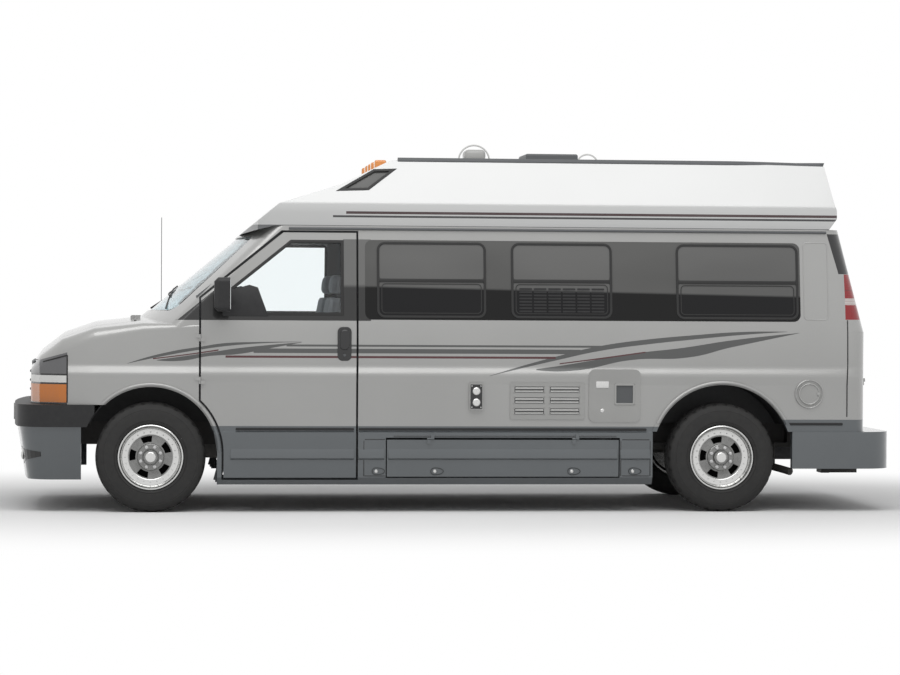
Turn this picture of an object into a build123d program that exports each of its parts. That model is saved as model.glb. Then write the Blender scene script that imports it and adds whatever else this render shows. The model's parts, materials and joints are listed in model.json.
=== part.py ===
from build123d import *
import os

# Camper van with a raised roof on a long cab chassis, in millimetres.
# Front towards -X, driver's side towards -Y, +Z up, origin on the ground under the middle.

# Overall sizes
WHEELBASE = 3937
FRONT_OVERHANG = 950
REAR_OVERHANG = 1203
LENGTH = FRONT_OVERHANG + WHEELBASE + REAR_OVERHANG
FRONT_END_X = -LENGTH / 2
REAR_END_X = LENGTH / 2
FRONT_AXLE_X = FRONT_END_X + FRONT_OVERHANG
REAR_AXLE_X = FRONT_AXLE_X + WHEELBASE

# Running gear
TYRE_RADIUS = 375
TYRE_WIDTH = 240
AXLE_Z = TYRE_RADIUS
TRACK_HALF = 865
RIM_RADIUS = 222
SPINDLE_RADIUS = 30
RUNNING_CLEARANCE = 0.3
KINGPIN_Y = 790
KINGPIN_RADIUS = 15

# Body heights
SKIRT_BOTTOM_Z = 190
DOOR_BOTTOM_Z = 237
CLADDING_TOP_Z = 556
FLOOR_TOP_Z = 640
FLOOR_THICKNESS = 40
SHOULDER_Z = 1010
BELT_Z = 1250
GUTTER_Z = 1960
ROOF_TOP_Z = 2464

# Body widths
HALF_WIDTH = 1006
BELT_HALF_WIDTH = 997
GUTTER_HALF_WIDTH = 905
WALL = 45
PANEL_GAP = 14

# Body stations along the length
NOSE_X = FRONT_END_X + 130
DOOR_FRONT_X = FRONT_AXLE_X + 338
DOOR_REAR_X = FRONT_AXLE_X + 1396
HOOD_REAR_X = FRONT_AXLE_X - 116
REAR_FACE_X = REAR_END_X - 187
REAR_CORNER_RADIUS = 130

# Wheel openings
ARCH_Z = 405
FRONT_ARCH_RADIUS = 450
REAR_ARCH_RADIUS = 490
ARCH_LIP = 30
ARCH_LIP_HEIGHT = 8

# Windows
GLASS_DEPTH = 10
GLASS_THICKNESS = 6
GLASS_CLEARANCE = 0.3
BAND_FRONT_X = DOOR_REAR_X + 59
BAND_REAR_X = REAR_AXLE_X + 548
BAND_BOTTOM_Z = 1318
BAND_TOP_Z = 1865
BAND_THICKNESS = 8

# Hinges
PIN_RADIUS = 3.5
PIN_CLEARANCE = 0.3
LEAF_HALF = 6
LEAF_REACH = 34
LEAF_HEIGHT = 24

# Side section below the belt: height, half width
SIDE_SECTION = (
    (SKIRT_BOTTOM_Z, HALF_WIDTH - 41),
    (SKIRT_BOTTOM_Z + 50, HALF_WIDTH - 6),
    (CLADDING_TOP_Z - 8, HALF_WIDTH - 2),
    (CLADDING_TOP_Z, HALF_WIDTH - 16),
    (CLADDING_TOP_Z + 324, HALF_WIDTH - 16),
    (SHOULDER_Z, HALF_WIDTH),
    (BELT_Z, BELT_HALF_WIDTH),
)

# Nose sections from the door to the grille:
# station, half width, crown height, corner radius, share of an inset taken along the length
NOSE_SECTIONS = (
    (DOOR_FRONT_X - PANEL_GAP / 2, HALF_WIDTH - 3, 1324, 20, 0.0),
    (FRONT_AXLE_X - 55, HALF_WIDTH - 21, 1330, 60, 0.0),
    (FRONT_AXLE_X - 385, HALF_WIDTH - 46, 1293, 85, 0.1),
    (FRONT_AXLE_X - 605, HALF_WIDTH - 86, 1217, 95, 0.3),
    (FRONT_AXLE_X - 755, HALF_WIDTH - 196, 1100, 95, 0.7),
    (NOSE_X, HALF_WIDTH - 360, 1010, 90, 1.0),
)
HOOD_CROWN = 42


def block(x, y, z):
    """Box between three (low, high) pairs."""
    with BuildPart(mode=Mode.PRIVATE) as box:
        with Locations(((x[0] + x[1]) / 2, (y[0] + y[1]) / 2, (z[0] + z[1]) / 2)):
            Box(x[1] - x[0], y[1] - y[0], z[1] - z[0])
    return box.part


def side_prism(points, y, radius=0):
    """Solid with an (x, z) outline between two y values, its corners rounded."""
    with BuildPart(mode=Mode.PRIVATE) as prism:
        with BuildSketch(Plane.XZ.offset(-y[0])):
            with BuildLine():
                if radius:
                    FilletPolyline(*points, radius=radius, close=True)
                else:
                    Polyline(*points, close=True)
            make_face()
        extrude(amount=y[0] - y[1])
    return prism.part


def end_prism(points, x, radius=0):
    """Solid with a (y, z) outline between two stations, its corners rounded."""
    with BuildPart(mode=Mode.PRIVATE) as prism:
        with BuildSketch(Plane.YZ.offset(x[0])):
            with BuildLine():
                if radius:
                    FilletPolyline(*points, radius=radius, close=True)
                else:
                    Polyline(*points, close=True)
            make_face()
        extrude(amount=x[1] - x[0])
    return prism.part


def cross_cylinder(x, z, radius, y):
    """Round bar across the van."""
    with BuildPart(mode=Mode.PRIVATE) as bar:
        with BuildSketch(Plane.XZ.offset(-y[0])):
            with Locations((x, z)):
                Circle(radius)
        extrude(amount=y[0] - y[1])
    return bar.part


def upright_cylinder(x, y, radius, z):
    """Round bar standing up."""
    with BuildPart(mode=Mode.PRIVATE) as bar:
        with BuildSketch(Plane.XY.offset(z[0])):
            with Locations((x, y)):
                Circle(radius)
        extrude(amount=z[1] - z[0])
    return bar.part


def mirrored(part):
    """The same piece on the other side of the van."""
    with BuildPart(mode=Mode.PRIVATE) as twin:
        mirror(part, about=Plane.XZ, mode=Mode.ADD)
    return twin.part


def common(*parts):
    """Solid that all the given parts share."""
    with BuildPart(mode=Mode.PRIVATE) as shared:
        add(parts[0])
        for other in parts[1:]:
            add(other, mode=Mode.INTERSECT)
    return shared.part


def less(part, *cutters):
    """The part with the cutters taken away."""
    with BuildPart(mode=Mode.PRIVATE) as rest:
        add(part)
        for cutter in cutters:
            add(cutter, mode=Mode.SUBTRACT)
    return rest.part


def both_sides(points):
    """Outline of a symmetrical section from the (height, half width) rows of one side."""
    right = [(half, height) for height, half in points]
    return right + [(-half, height) for half, height in reversed(right)]


def nose_section(station, inset):
    """One cross-section of the nose: upright sides, round shoulders and a crowned top."""
    x, half, crown, corner, along = station
    half = half - inset
    crown = crown - inset
    corner = max(corner - inset, 8)
    shoulder = crown - HOOD_CROWN
    diagonal = corner * (1 - 0.7071)
    with BuildSketch(Plane.YZ.offset(x + inset * along), mode=Mode.PRIVATE) as section:
        with BuildLine():
            Line((-half, SKIRT_BOTTOM_Z - inset), (-half, shoulder - corner))
            ThreePointArc(
                (-half, shoulder - corner),
                (-half + diagonal, shoulder - diagonal),
                (-half + corner, shoulder),
            )
            ThreePointArc((-half + corner, shoulder), (0, crown), (half - corner, shoulder))
            ThreePointArc(
                (half - corner, shoulder),
                (half - diagonal, shoulder - diagonal),
                (half, shoulder - corner),
            )
            Line((half, shoulder - corner), (half, SKIRT_BOTTOM_Z - inset))
            Line((half, SKIRT_BOTTOM_Z - inset), (-half, SKIRT_BOTTOM_Z - inset))
        make_face()
    return section.sketch


def nose(inset):
    """Front of the body from the grille to the doors."""
    with BuildPart(mode=Mode.PRIVATE) as front:
        loft([nose_section(row, inset) for row in NOSE_SECTIONS], ruled=True)
    return front.part


def lower_body(inset):
    """Body from the doors back, below the belt."""
    rows = [(height, half - inset) for height, half in SIDE_SECTION]
    rows[0] = (SKIRT_BOTTOM_Z - inset, rows[0][1])
    front_x = NOSE_SECTIONS[0][0]
    back_x = REAR_FACE_X - inset
    reach = HALF_WIDTH - inset
    with BuildPart(mode=Mode.PRIVATE) as body:
        with BuildSketch(Plane.YZ.offset(front_x)):
            with BuildLine():
                Polyline(*both_sides(rows), close=True)
            make_face()
        extrude(amount=back_x - front_x)
        with BuildSketch(Plane.XY) as plan:
            with Locations(((front_x + back_x) / 2, 0)):
                Rectangle(back_x - front_x, 2 * reach)
            fillet(plan.vertices().group_by(Axis.X)[-1], REAR_CORNER_RADIUS - inset)
        extrude(amount=BELT_Z, mode=Mode.INTERSECT)
    return body.part


# Cabin outline at the belt and at the gutter: height, front, front bow, half width, back
CABIN_SECTIONS = (
    (BELT_Z, FRONT_AXLE_X - 168, 290, BELT_HALF_WIDTH, REAR_FACE_X),
    (GUTTER_Z, FRONT_AXLE_X + 682, 161, GUTTER_HALF_WIDTH, REAR_FACE_X - 170),
)
PILLAR_RADIUS = 100


def cabin_section(row, inset):
    """Plan of the cabin at one height, with a bowed front and round corners."""
    height, front, bow, half, back = row
    front = front + inset * 1.3
    half = half - inset
    back = back - inset
    with BuildSketch(Plane.XY.offset(height), mode=Mode.PRIVATE) as plan:
        with BuildLine():
            ThreePointArc((front + bow, -half), (front, 0), (front + bow, half))
            Polyline((front + bow, half), (back, half), (back, -half), (front + bow, -half))
        make_face()
        fillet(plan.vertices().group_by(Axis.X)[-1], REAR_CORNER_RADIUS - inset)
        fillet(plan.vertices().sort_by(Axis.X)[:2], PILLAR_RADIUS - inset)
    return plan.sketch


def cabin(inset):
    """Body above the belt, up to the gutter."""
    with BuildPart(mode=Mode.PRIVATE) as top:
        loft([cabin_section(row, inset) for row in CABIN_SECTIONS], ruled=True)
    return top.part


NOSE_OUTSIDE = nose(0)
with BuildPart() as outside:
    add(NOSE_OUTSIDE)
    add(lower_body(0))
    add(cabin(0))

with BuildPart() as inside:
    add(nose(WALL))
    add(lower_body(WALL))
    add(cabin(WALL))

with BuildPart() as shell:
    add(outside.part)
    add(inside.part, mode=Mode.SUBTRACT)


GLASS_SKIN = less(cabin(GLASS_DEPTH), cabin(GLASS_DEPTH + GLASS_THICKNESS))
BAND_SKIN = less(cabin(0), cabin(BAND_THICKNESS))
FAR = 1300
LEFT_SIDE = (-FAR, 0)
CORNER_Y = 786


def hinge(origin, axis, toward, depth):
    """Ear with its pin, and the knuckle that turns on it.

    The pin stands along axis. Toward points from the pin to the moving panel, and both leaves
    reach depth inwards from the pin, into the panels that they join.
    """
    seat = Plane(origin=origin, x_dir=toward, z_dir=axis)
    low = Align.MIN
    middle = Align.CENTER
    with BuildPart(seat, mode=Mode.PRIVATE) as ear:
        with Locations((-LEAF_REACH, -depth, -LEAF_HEIGHT)):
            Box(LEAF_REACH, depth + LEAF_HALF, LEAF_HEIGHT, align=(low, low, low))
        with Locations((0, 0, -LEAF_HEIGHT)):
            Cylinder(LEAF_HALF, LEAF_HEIGHT, align=(middle, middle, low))
        Cylinder(PIN_RADIUS, LEAF_HEIGHT, align=(middle, middle, low))
    with BuildPart(seat, mode=Mode.PRIVATE) as knuckle:
        with Locations((0, 0, PIN_CLEARANCE)):
            Cylinder(LEAF_HALF, LEAF_HEIGHT, align=(middle, middle, low))
        with Locations((0, -LEAF_HALF, PIN_CLEARANCE)):
            Box(LEAF_HALF, LEAF_HALF, LEAF_HEIGHT, align=(low, low, low))
        with Locations((LEAF_HALF, -depth, PIN_CLEARANCE)):
            Box(LEAF_REACH - LEAF_HALF, depth + LEAF_HALF, LEAF_HEIGHT, align=(low, low, low))
        Cylinder(PIN_RADIUS + PIN_CLEARANCE, 4 * LEAF_HEIGHT, mode=Mode.SUBTRACT)
    return ear.part, knuckle.part


def window(points, radius, y):
    """Window opening with its pane: the cutter, and the pane that fits it."""
    cutter = side_prism(points, y, radius)
    pane = common(GLASS_SKIN, cutter)
    return cutter, pane


# Front doors
DOOR_TOP_Z = GUTTER_Z - 48
PILLAR_FOOT_Z = 1460
PILLAR_HEAD_X = DOOR_FRONT_X + 560
DOOR_ARCH_RADIUS = FRONT_ARCH_RADIUS + ARCH_LIP + PANEL_GAP
DOOR_HINGE_Y = HALF_WIDTH - 1
DOOR_HINGE_HEIGHTS = (900, 1190)
WINDOW_BOTTOM_Z = 1345
WINDOW_TOP_Z = 1862
WINDOW_REAR_X = DOOR_REAR_X - 86

door_outline = (
    (DOOR_FRONT_X, DOOR_BOTTOM_Z),
    (DOOR_REAR_X, DOOR_BOTTOM_Z),
    (DOOR_REAR_X, DOOR_TOP_Z),
    (PILLAR_HEAD_X, DOOR_TOP_Z),
    (DOOR_FRONT_X, PILLAR_FOOT_Z),
)
door_window = (
    (DOOR_FRONT_X + 150, WINDOW_BOTTOM_Z),
    (WINDOW_REAR_X, WINDOW_BOTTOM_Z),
    (WINDOW_REAR_X, WINDOW_TOP_Z),
    (PILLAR_HEAD_X + 49, WINDOW_TOP_Z),
    (DOOR_FRONT_X + 150, PILLAR_FOOT_Z + 31),
)
front_wheel_disc = cross_cylinder(FRONT_AXLE_X, ARCH_Z, DOOR_ARCH_RADIUS, LEFT_SIDE)
door_foot = block((FRONT_AXLE_X, FRONT_AXLE_X + DOOR_ARCH_RADIUS), LEFT_SIDE, (0, ARCH_Z))
window_hole, window_pane = window(door_window, 40, LEFT_SIDE)
door_hinges = [
    hinge((DOOR_FRONT_X - PANEL_GAP / 2, -DOOR_HINGE_Y, z), (0, 0, -1), (1, 0, 0), 40)
    for z in DOOR_HINGE_HEIGHTS
]

with BuildPart() as door_front_left:
    add(shell.part)
    add(side_prism(door_outline, LEFT_SIDE), mode=Mode.INTERSECT)
    add(front_wheel_disc, mode=Mode.SUBTRACT)
    add(door_foot, mode=Mode.SUBTRACT)
    add(window_hole, mode=Mode.SUBTRACT)
    for ear, knuckle in door_hinges:
        add(knuckle)

with BuildPart() as door_glass_left:
    add(window_pane)

# Front fenders
FENDER_GAP_X = DOOR_FRONT_X - PANEL_GAP
HOOD_HALF_WIDTH = 720
HOOD_GAP = 6
BUMPER_TOP_Z = 731
LAMP_REAR_X = FRONT_AXLE_X - 565
LAMP_INNER_Y = 560
LAMP_LINE_RISE = 0.279
LAMP_LINE_Z = 1008


def lamp_line(x, lift=0):
    """Point on the line that rises from the grille's top along the head lamp."""
    return (x, LAMP_LINE_Z + lift + LAMP_LINE_RISE * (x - NOSE_X + 45))


lamp_outline = (
    (NOSE_X - 45, BUMPER_TOP_Z),
    (LAMP_REAR_X, BUMPER_TOP_Z),
    lamp_line(LAMP_REAR_X, -HOOD_GAP),
    lamp_line(NOSE_X - 45, -HOOD_GAP),
)
hood_outline = (
    lamp_line(NOSE_X - 45),
    lamp_line(HOOD_REAR_X),
    (HOOD_REAR_X, BELT_Z + 150),
    (NOSE_X - 45, BELT_Z + 150),
)

with BuildPart() as front_arch_cut:
    with BuildSketch(Plane.XZ.offset(-FAR)):
        with Locations((FRONT_AXLE_X, ARCH_Z)):
            Circle(FRONT_ARCH_RADIUS)
        with Locations((FRONT_AXLE_X, ARCH_Z / 2)):
            Rectangle(2 * FRONT_ARCH_RADIUS, ARCH_Z)
    extrude(amount=2 * FAR)

with BuildPart() as fender_reach:
    with BuildSketch(Plane.XZ.offset(FAR)):
        with BuildLine():
            Polyline(
                (NOSE_X - 45, BUMPER_TOP_Z),
                (FENDER_GAP_X, BUMPER_TOP_Z),
                (FENDER_GAP_X, BELT_Z + 150),
                (NOSE_X - 45, BELT_Z + 150),
                close=True,
            )
        make_face()
        with Locations((FRONT_AXLE_X, ARCH_Z)):
            Circle(FRONT_ARCH_RADIUS + ARCH_LIP)
        with Locations((FRONT_AXLE_X, (ARCH_Z + SKIRT_BOTTOM_Z) / 2)):
            Rectangle(2 * (FRONT_ARCH_RADIUS + ARCH_LIP), ARCH_Z - SKIRT_BOTTOM_Z)
        with Locations((FRONT_AXLE_X - FRONT_ARCH_RADIUS, BUMPER_TOP_Z / 2)):
            Rectangle(2 * FRONT_ARCH_RADIUS, BUMPER_TOP_Z, mode=Mode.SUBTRACT)
    extrude(amount=-(FAR - HOOD_HALF_WIDTH - HOOD_GAP))

SILL_Z = BELT_Z - 60
PILLAR_ZONE = less(block((NOSE_X, DOOR_FRONT_X), (-FAR, FAR), (SILL_Z, GUTTER_Z)), NOSE_OUTSIDE)

with BuildPart() as lip_outside:
    add(nose(-ARCH_LIP_HEIGHT))
    add(lower_body(-ARCH_LIP_HEIGHT))
    add(inside.part, mode=Mode.SUBTRACT)
    add(block((NOSE_X, REAR_END_X), (-FAR, FAR), (SKIRT_BOTTOM_Z, SILL_Z)), mode=Mode.INTERSECT)

with BuildPart() as front_lip:
    with BuildSketch(Plane.XZ.offset(FAR)):
        with Locations((FRONT_AXLE_X, ARCH_Z)):
            Circle(FRONT_ARCH_RADIUS + ARCH_LIP)
        with Locations((FRONT_AXLE_X, ARCH_Z / 2)):
            Rectangle(2 * (FRONT_ARCH_RADIUS + ARCH_LIP), ARCH_Z)
        with Locations((FRONT_AXLE_X - FRONT_ARCH_RADIUS, BUMPER_TOP_Z / 2)):
            Rectangle(2 * FRONT_ARCH_RADIUS, BUMPER_TOP_Z, mode=Mode.SUBTRACT)
    extrude(amount=-FAR)
    add(lip_outside.part, mode=Mode.INTERSECT)

with BuildPart() as fender_left:
    add(shell.part)
    add(fender_reach.part, mode=Mode.INTERSECT)
    add(PILLAR_ZONE, mode=Mode.SUBTRACT)
    add(side_prism(lamp_outline, LEFT_SIDE), mode=Mode.SUBTRACT)
    add(front_lip.part)
    add(front_arch_cut.part, mode=Mode.SUBTRACT)
    for ear, knuckle in door_hinges:
        add(ear)

with BuildPart() as front_fenders:
    add(fender_left.part)
    add(mirrored(fender_left.part))

# Hood, head lamps and grille
HOOD_HINGE_Y = 480
HOOD_HINGE_X = HOOD_REAR_X + PANEL_GAP / 2
HOOD_HINGE_Z = 1327

hood_hinges = [
    hinge((HOOD_HINGE_X, y, HOOD_HINGE_Z), (0, 1, 0), (-1, 0, 0), 32)
    for y in (-HOOD_HINGE_Y, HOOD_HINGE_Y)
]

with BuildPart() as hood:
    add(shell.part)
    add(side_prism(hood_outline, (-HOOD_HALF_WIDTH, HOOD_HALF_WIDTH)), mode=Mode.INTERSECT)
    for ear, knuckle in hood_hinges:
        add(knuckle)

# Grooves between the lamp's tiers and slots in the grille: bottom and top
LAMP_GROOVES = ((BUMPER_TOP_Z + 138, BUMPER_TOP_Z + 148), (BUMPER_TOP_Z + 198, BUMPER_TOP_Z + 208))
GROOVE_DEPTH = 8
GRILLE_SLOTS = [(BUMPER_TOP_Z + 24 + 58 * row, BUMPER_TOP_Z + 64 + 58 * row) for row in range(4)]
GRILLE_BORDER = 40
SLOT_DEPTH = 16
NOSE_REACH = (FRONT_END_X, FRONT_AXLE_X)

with BuildPart() as lamp_left:
    add(shell.part)
    add(side_prism(lamp_outline, (-FAR, -LAMP_INNER_Y)), mode=Mode.INTERSECT)
    for groove in LAMP_GROOVES:
        add(less(block(NOSE_REACH, (-FAR, 0), groove), nose(GROOVE_DEPTH)), mode=Mode.SUBTRACT)

with BuildPart() as grille:
    add(shell.part)
    add(side_prism(lamp_outline, (-LAMP_INNER_Y, LAMP_INNER_Y)), mode=Mode.INTERSECT)
    for slot in GRILLE_SLOTS:
        opening = block(NOSE_REACH, (-LAMP_INNER_Y + GRILLE_BORDER, LAMP_INNER_Y - GRILLE_BORDER), slot)
        add(less(opening, nose(SLOT_DEPTH)), mode=Mode.SUBTRACT)

# Windscreen frame: cowl, pillars, header and bulkhead
SCREEN_SILL_Z = 1372
SCREEN_HEAD_Z = 1885
ROOF_FRONT_X = FRONT_AXLE_X + 595
ROOF_SPLIT = ((ROOF_FRONT_X - 60, GUTTER_Z - 75), (ROOF_FRONT_X + 250, GUTTER_Z))
BULKHEAD_X = FRONT_AXLE_X - 35
BULKHEAD_HALF = 505

screen_opening = end_prism(
    ((-800, SCREEN_SILL_Z), (800, SCREEN_SILL_Z), (715, SCREEN_HEAD_Z), (-715, SCREEN_HEAD_Z)),
    (HOOD_REAR_X - 200, ROOF_FRONT_X + 400),
    60,
)
frame_outline = (
    (HOOD_REAR_X + PANEL_GAP, SILL_Z),
    (FENDER_GAP_X, SILL_Z),
    (FENDER_GAP_X, PILLAR_FOOT_Z + PANEL_GAP / 2),
    (PILLAR_HEAD_X - PANEL_GAP, DOOR_TOP_Z + PANEL_GAP),
    (DOOR_REAR_X + PANEL_GAP, DOOR_TOP_Z + PANEL_GAP),
    (DOOR_REAR_X + PANEL_GAP, GUTTER_Z),
    ROOF_SPLIT[1],
    ROOF_SPLIT[0],
    (HOOD_REAR_X - 100, ROOF_SPLIT[0][1]),
    (HOOD_REAR_X - 100, BELT_Z + 40),
)

hood_room = block(
    (NOSE_X, HOOD_REAR_X + PANEL_GAP),
    (-HOOD_HALF_WIDTH - HOOD_GAP, HOOD_HALF_WIDTH + HOOD_GAP),
    (SHOULDER_Z, BELT_Z + 150),
)

with BuildPart() as windscreen_frame:
    add(shell.part)
    add(side_prism(frame_outline, (-FAR, FAR)), mode=Mode.INTERSECT)
    add(less(fender_reach.part, PILLAR_ZONE), mode=Mode.SUBTRACT)
    add(mirrored(less(fender_reach.part, PILLAR_ZONE)), mode=Mode.SUBTRACT)
    add(hood_room, mode=Mode.SUBTRACT)
    add(screen_opening, mode=Mode.SUBTRACT)
    for ear, knuckle in hood_hinges:
        add(ear)

with BuildPart() as windscreen:
    add(GLASS_SKIN)
    add(screen_opening, mode=Mode.INTERSECT)


# Side walls with the window band
BODY_GAP_X = DOOR_REAR_X + PANEL_GAP
TAIL_LAMP_BOTTOM_Z = 1335
TAIL_LAMP_TOP_Z = 1650
TAIL_LAMP_X = REAR_FACE_X - 152
TAIL_LAMP_Y = 838
BAND_CORNER = 50
WINDOW_BORDER = 45
WINDOW_CORNER = 40
REAR_ARCH_Z = ARCH_Z - 15
RIGHT_SIDE = (0, FAR)

# Fixed windows behind the band: front and rear stations
BAND_WINDOWS = (
    (BAND_FRONT_X + 45, BAND_FRONT_X + 867),
    (BAND_FRONT_X + 972, BAND_FRONT_X + 1744),
    (BAND_FRONT_X + 2122, BAND_REAR_X - 15),
)


def band_outline(front, rear, inset):
    """Side view of a stretch of the window band, inset all round."""
    return (
        (front + inset, BAND_BOTTOM_Z + inset),
        (rear - inset, BAND_BOTTOM_Z + inset),
        (rear - inset, BAND_TOP_Z - inset),
        (front + inset, BAND_TOP_Z - inset),
    )


BAND_SEAT = less(cabin(-1), cabin(BAND_THICKNESS + GLASS_CLEARANCE))


def band_pane(front, rear, y):
    """Pane of dark glass, flush with the wall."""
    outline = band_outline(front, rear, GLASS_CLEARANCE)
    return common(BAND_SKIN, side_prism(outline, y, BAND_CORNER))


def band_seat(front, rear, y):
    """Rebate that the pane sits in."""
    return common(BAND_SEAT, side_prism(band_outline(front, rear, 0), y, BAND_CORNER))


def band_hole(front, rear, y):
    """Window opening through the wall behind the pane."""
    return side_prism(band_outline(front, rear, WINDOW_BORDER), y, WINDOW_CORNER)


def wheel_arch(axle_x, arch_z, radius, y):
    """Wheel opening: a round top on upright sides."""
    with BuildPart(mode=Mode.PRIVATE) as arch:
        with BuildSketch(Plane.XZ.offset(-y[0])):
            with Locations((axle_x, arch_z)):
                Circle(radius)
            with Locations((axle_x, arch_z / 2)):
                Rectangle(2 * radius, arch_z)
        extrude(amount=y[0] - y[1])
    return arch.part


rear_arch = wheel_arch(REAR_AXLE_X, REAR_ARCH_Z, REAR_ARCH_RADIUS, LEFT_SIDE)
rear_lip = common(
    lip_outside.part,
    wheel_arch(REAR_AXLE_X, REAR_ARCH_Z, REAR_ARCH_RADIUS + ARCH_LIP, LEFT_SIDE),
    block((BODY_GAP_X, REAR_FACE_X), LEFT_SIDE, (CLADDING_TOP_Z, SILL_Z)),
)
tail_lamp_zone = block(
    (TAIL_LAMP_X, REAR_END_X),
    (-FAR, -TAIL_LAMP_Y),
    (TAIL_LAMP_BOTTOM_Z, TAIL_LAMP_TOP_Z),
)
wall_reach = block((BODY_GAP_X, REAR_END_X), (-FAR, -CORNER_Y), (CLADDING_TOP_Z, GUTTER_Z))

# Rear doors turn on posts that lean with the back of the van
LEAN = 0.06
REAR_DOOR_GAP = 24
REAR_DOOR_BOTTOM_Z = CLADDING_TOP_Z + 14
REAR_DOOR_TOP_Z = GUTTER_Z - 98
REAR_HINGE_Y = CORNER_Y - PANEL_GAP / 2
REAR_HINGE_HEIGHTS = (900, 1240)
rear_hinges = [
    hinge(
        (REAR_FACE_X + 6 + LEAN * (BELT_Z - z), -REAR_HINGE_Y, z),
        (LEAN, 0, -1),
        (0, 1, 0),
        45,
    )
    for z in REAR_HINGE_HEIGHTS
]

# Side doors on the passenger's side: hinge station, free edge station, direction to the free edge
SIDE_DOOR_FRONT_X = BODY_GAP_X + 50
SIDE_DOOR_SPLIT_X = SIDE_DOOR_FRONT_X + 735
SIDE_DOOR_REAR_X = SIDE_DOOR_SPLIT_X + 480
SIDE_DOOR_GAP = 18
SIDE_DOOR_BOTTOM_Z = CLADDING_TOP_Z + 14
SIDE_DOOR_TOP_Z = GUTTER_Z - 50
SIDE_HINGE_HEIGHTS = (905, 1225)


def side_hinges(x, direction):
    """The two hinges of one side door, on a line that leans in with the wall."""
    return [
        hinge(
            (x, HALF_WIDTH + 6 - LEAN * (z - SHOULDER_Z), z),
            (0, -LEAN * direction, direction),
            (direction, 0, 0),
            45,
        )
        for z in SIDE_HINGE_HEIGHTS
    ]


front_leaf_hinges = side_hinges(SIDE_DOOR_FRONT_X - PANEL_GAP / 2, 1)
rear_leaf_hinges = side_hinges(SIDE_DOOR_REAR_X + PANEL_GAP / 2, -1)
side_doorway = block(
    (SIDE_DOOR_FRONT_X - PANEL_GAP, SIDE_DOOR_REAR_X + PANEL_GAP),
    RIGHT_SIDE,
    (SIDE_DOOR_BOTTOM_Z - PANEL_GAP, SIDE_DOOR_TOP_Z + PANEL_GAP),
)
FRONT_LEAF = (SIDE_DOOR_FRONT_X, SIDE_DOOR_SPLIT_X - SIDE_DOOR_GAP / 2)
REAR_LEAF = (SIDE_DOOR_SPLIT_X + SIDE_DOOR_GAP / 2, SIDE_DOOR_REAR_X)
LEAF_BORDER = 30
FRONT_LEAF_BAND = (FRONT_LEAF[0] + LEAF_BORDER, FRONT_LEAF[1] - LEAF_BORDER)
REAR_LEAF_BAND = (REAR_LEAF[0] + LEAF_BORDER, REAR_LEAF[1] - LEAF_BORDER)
FIXED_BAND_X = SIDE_DOOR_REAR_X + PANEL_GAP + 30

with BuildPart() as wall_blank:
    add(shell.part)
    add(wall_reach, mode=Mode.INTERSECT)
    add(rear_lip)
    add(rear_arch, mode=Mode.SUBTRACT)
    add(tail_lamp_zone, mode=Mode.SUBTRACT)
    for ear, knuckle in rear_hinges:
        add(ear)

with BuildPart() as side_wall_left:
    add(wall_blank.part)
    add(band_seat(BAND_FRONT_X, BAND_REAR_X, LEFT_SIDE), mode=Mode.SUBTRACT)
    for front, rear in BAND_WINDOWS:
        add(band_hole(front, rear, LEFT_SIDE), mode=Mode.SUBTRACT)

with BuildPart() as side_wall_right:
    add(mirrored(wall_blank.part))
    add(side_doorway, mode=Mode.SUBTRACT)
    add(band_seat(FIXED_BAND_X, BAND_REAR_X, RIGHT_SIDE), mode=Mode.SUBTRACT)
    add(band_hole(FIXED_BAND_X, BAND_WINDOWS[1][1], RIGHT_SIDE), mode=Mode.SUBTRACT)
    add(band_hole(*BAND_WINDOWS[2], RIGHT_SIDE), mode=Mode.SUBTRACT)
    for ear, knuckle in front_leaf_hinges + rear_leaf_hinges:
        add(ear)

def side_leaf(span):
    """Blank of one side door between two stations."""
    reach = block(span, RIGHT_SIDE, (SIDE_DOOR_BOTTOM_Z, SIDE_DOOR_TOP_Z))
    return common(shell.part, reach)


with BuildPart() as side_door_front:
    add(side_leaf(FRONT_LEAF))
    add(band_seat(*FRONT_LEAF_BAND, RIGHT_SIDE), mode=Mode.SUBTRACT)
    add(band_hole(*FRONT_LEAF_BAND, RIGHT_SIDE), mode=Mode.SUBTRACT)
    for ear, knuckle in front_leaf_hinges:
        add(knuckle)

with BuildPart() as side_door_rear:
    add(side_leaf(REAR_LEAF))
    add(band_seat(*REAR_LEAF_BAND, RIGHT_SIDE), mode=Mode.SUBTRACT)
    add(band_hole(*REAR_LEAF_BAND, RIGHT_SIDE), mode=Mode.SUBTRACT)
    for ear, knuckle in rear_leaf_hinges:
        add(knuckle)

with BuildPart() as side_door_glass_front:
    add(band_pane(*FRONT_LEAF_BAND, RIGHT_SIDE))

with BuildPart() as side_door_glass_rear:
    add(band_pane(*REAR_LEAF_BAND, RIGHT_SIDE))

# Rear doors and their frame
REAR_WALL = (REAR_FACE_X - 300, REAR_END_X)
REAR_WINDOW_Z = (1345, 1790)
rear_window_hole = end_prism(
    (
        (-CORNER_Y + 100, REAR_WINDOW_Z[0]),
        (-90, REAR_WINDOW_Z[0]),
        (-90, REAR_WINDOW_Z[1]),
        (-CORNER_Y + 100, REAR_WINDOW_Z[1]),
    ),
    REAR_WALL,
    50,
)

with BuildPart() as rear_door_left:
    add(shell.part)
    add(
        block(
            REAR_WALL,
            (-CORNER_Y + PANEL_GAP, -REAR_DOOR_GAP / 2),
            (REAR_DOOR_BOTTOM_Z, REAR_DOOR_TOP_Z),
        ),
        mode=Mode.INTERSECT,
    )
    add(rear_window_hole, mode=Mode.SUBTRACT)
    for ear, knuckle in rear_hinges:
        add(knuckle)

with BuildPart() as rear_glass_left:
    add(GLASS_SKIN)
    add(rear_window_hole, mode=Mode.INTERSECT)

with BuildPart() as rear_door_right:
    add(mirrored(rear_door_left.part))

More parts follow.
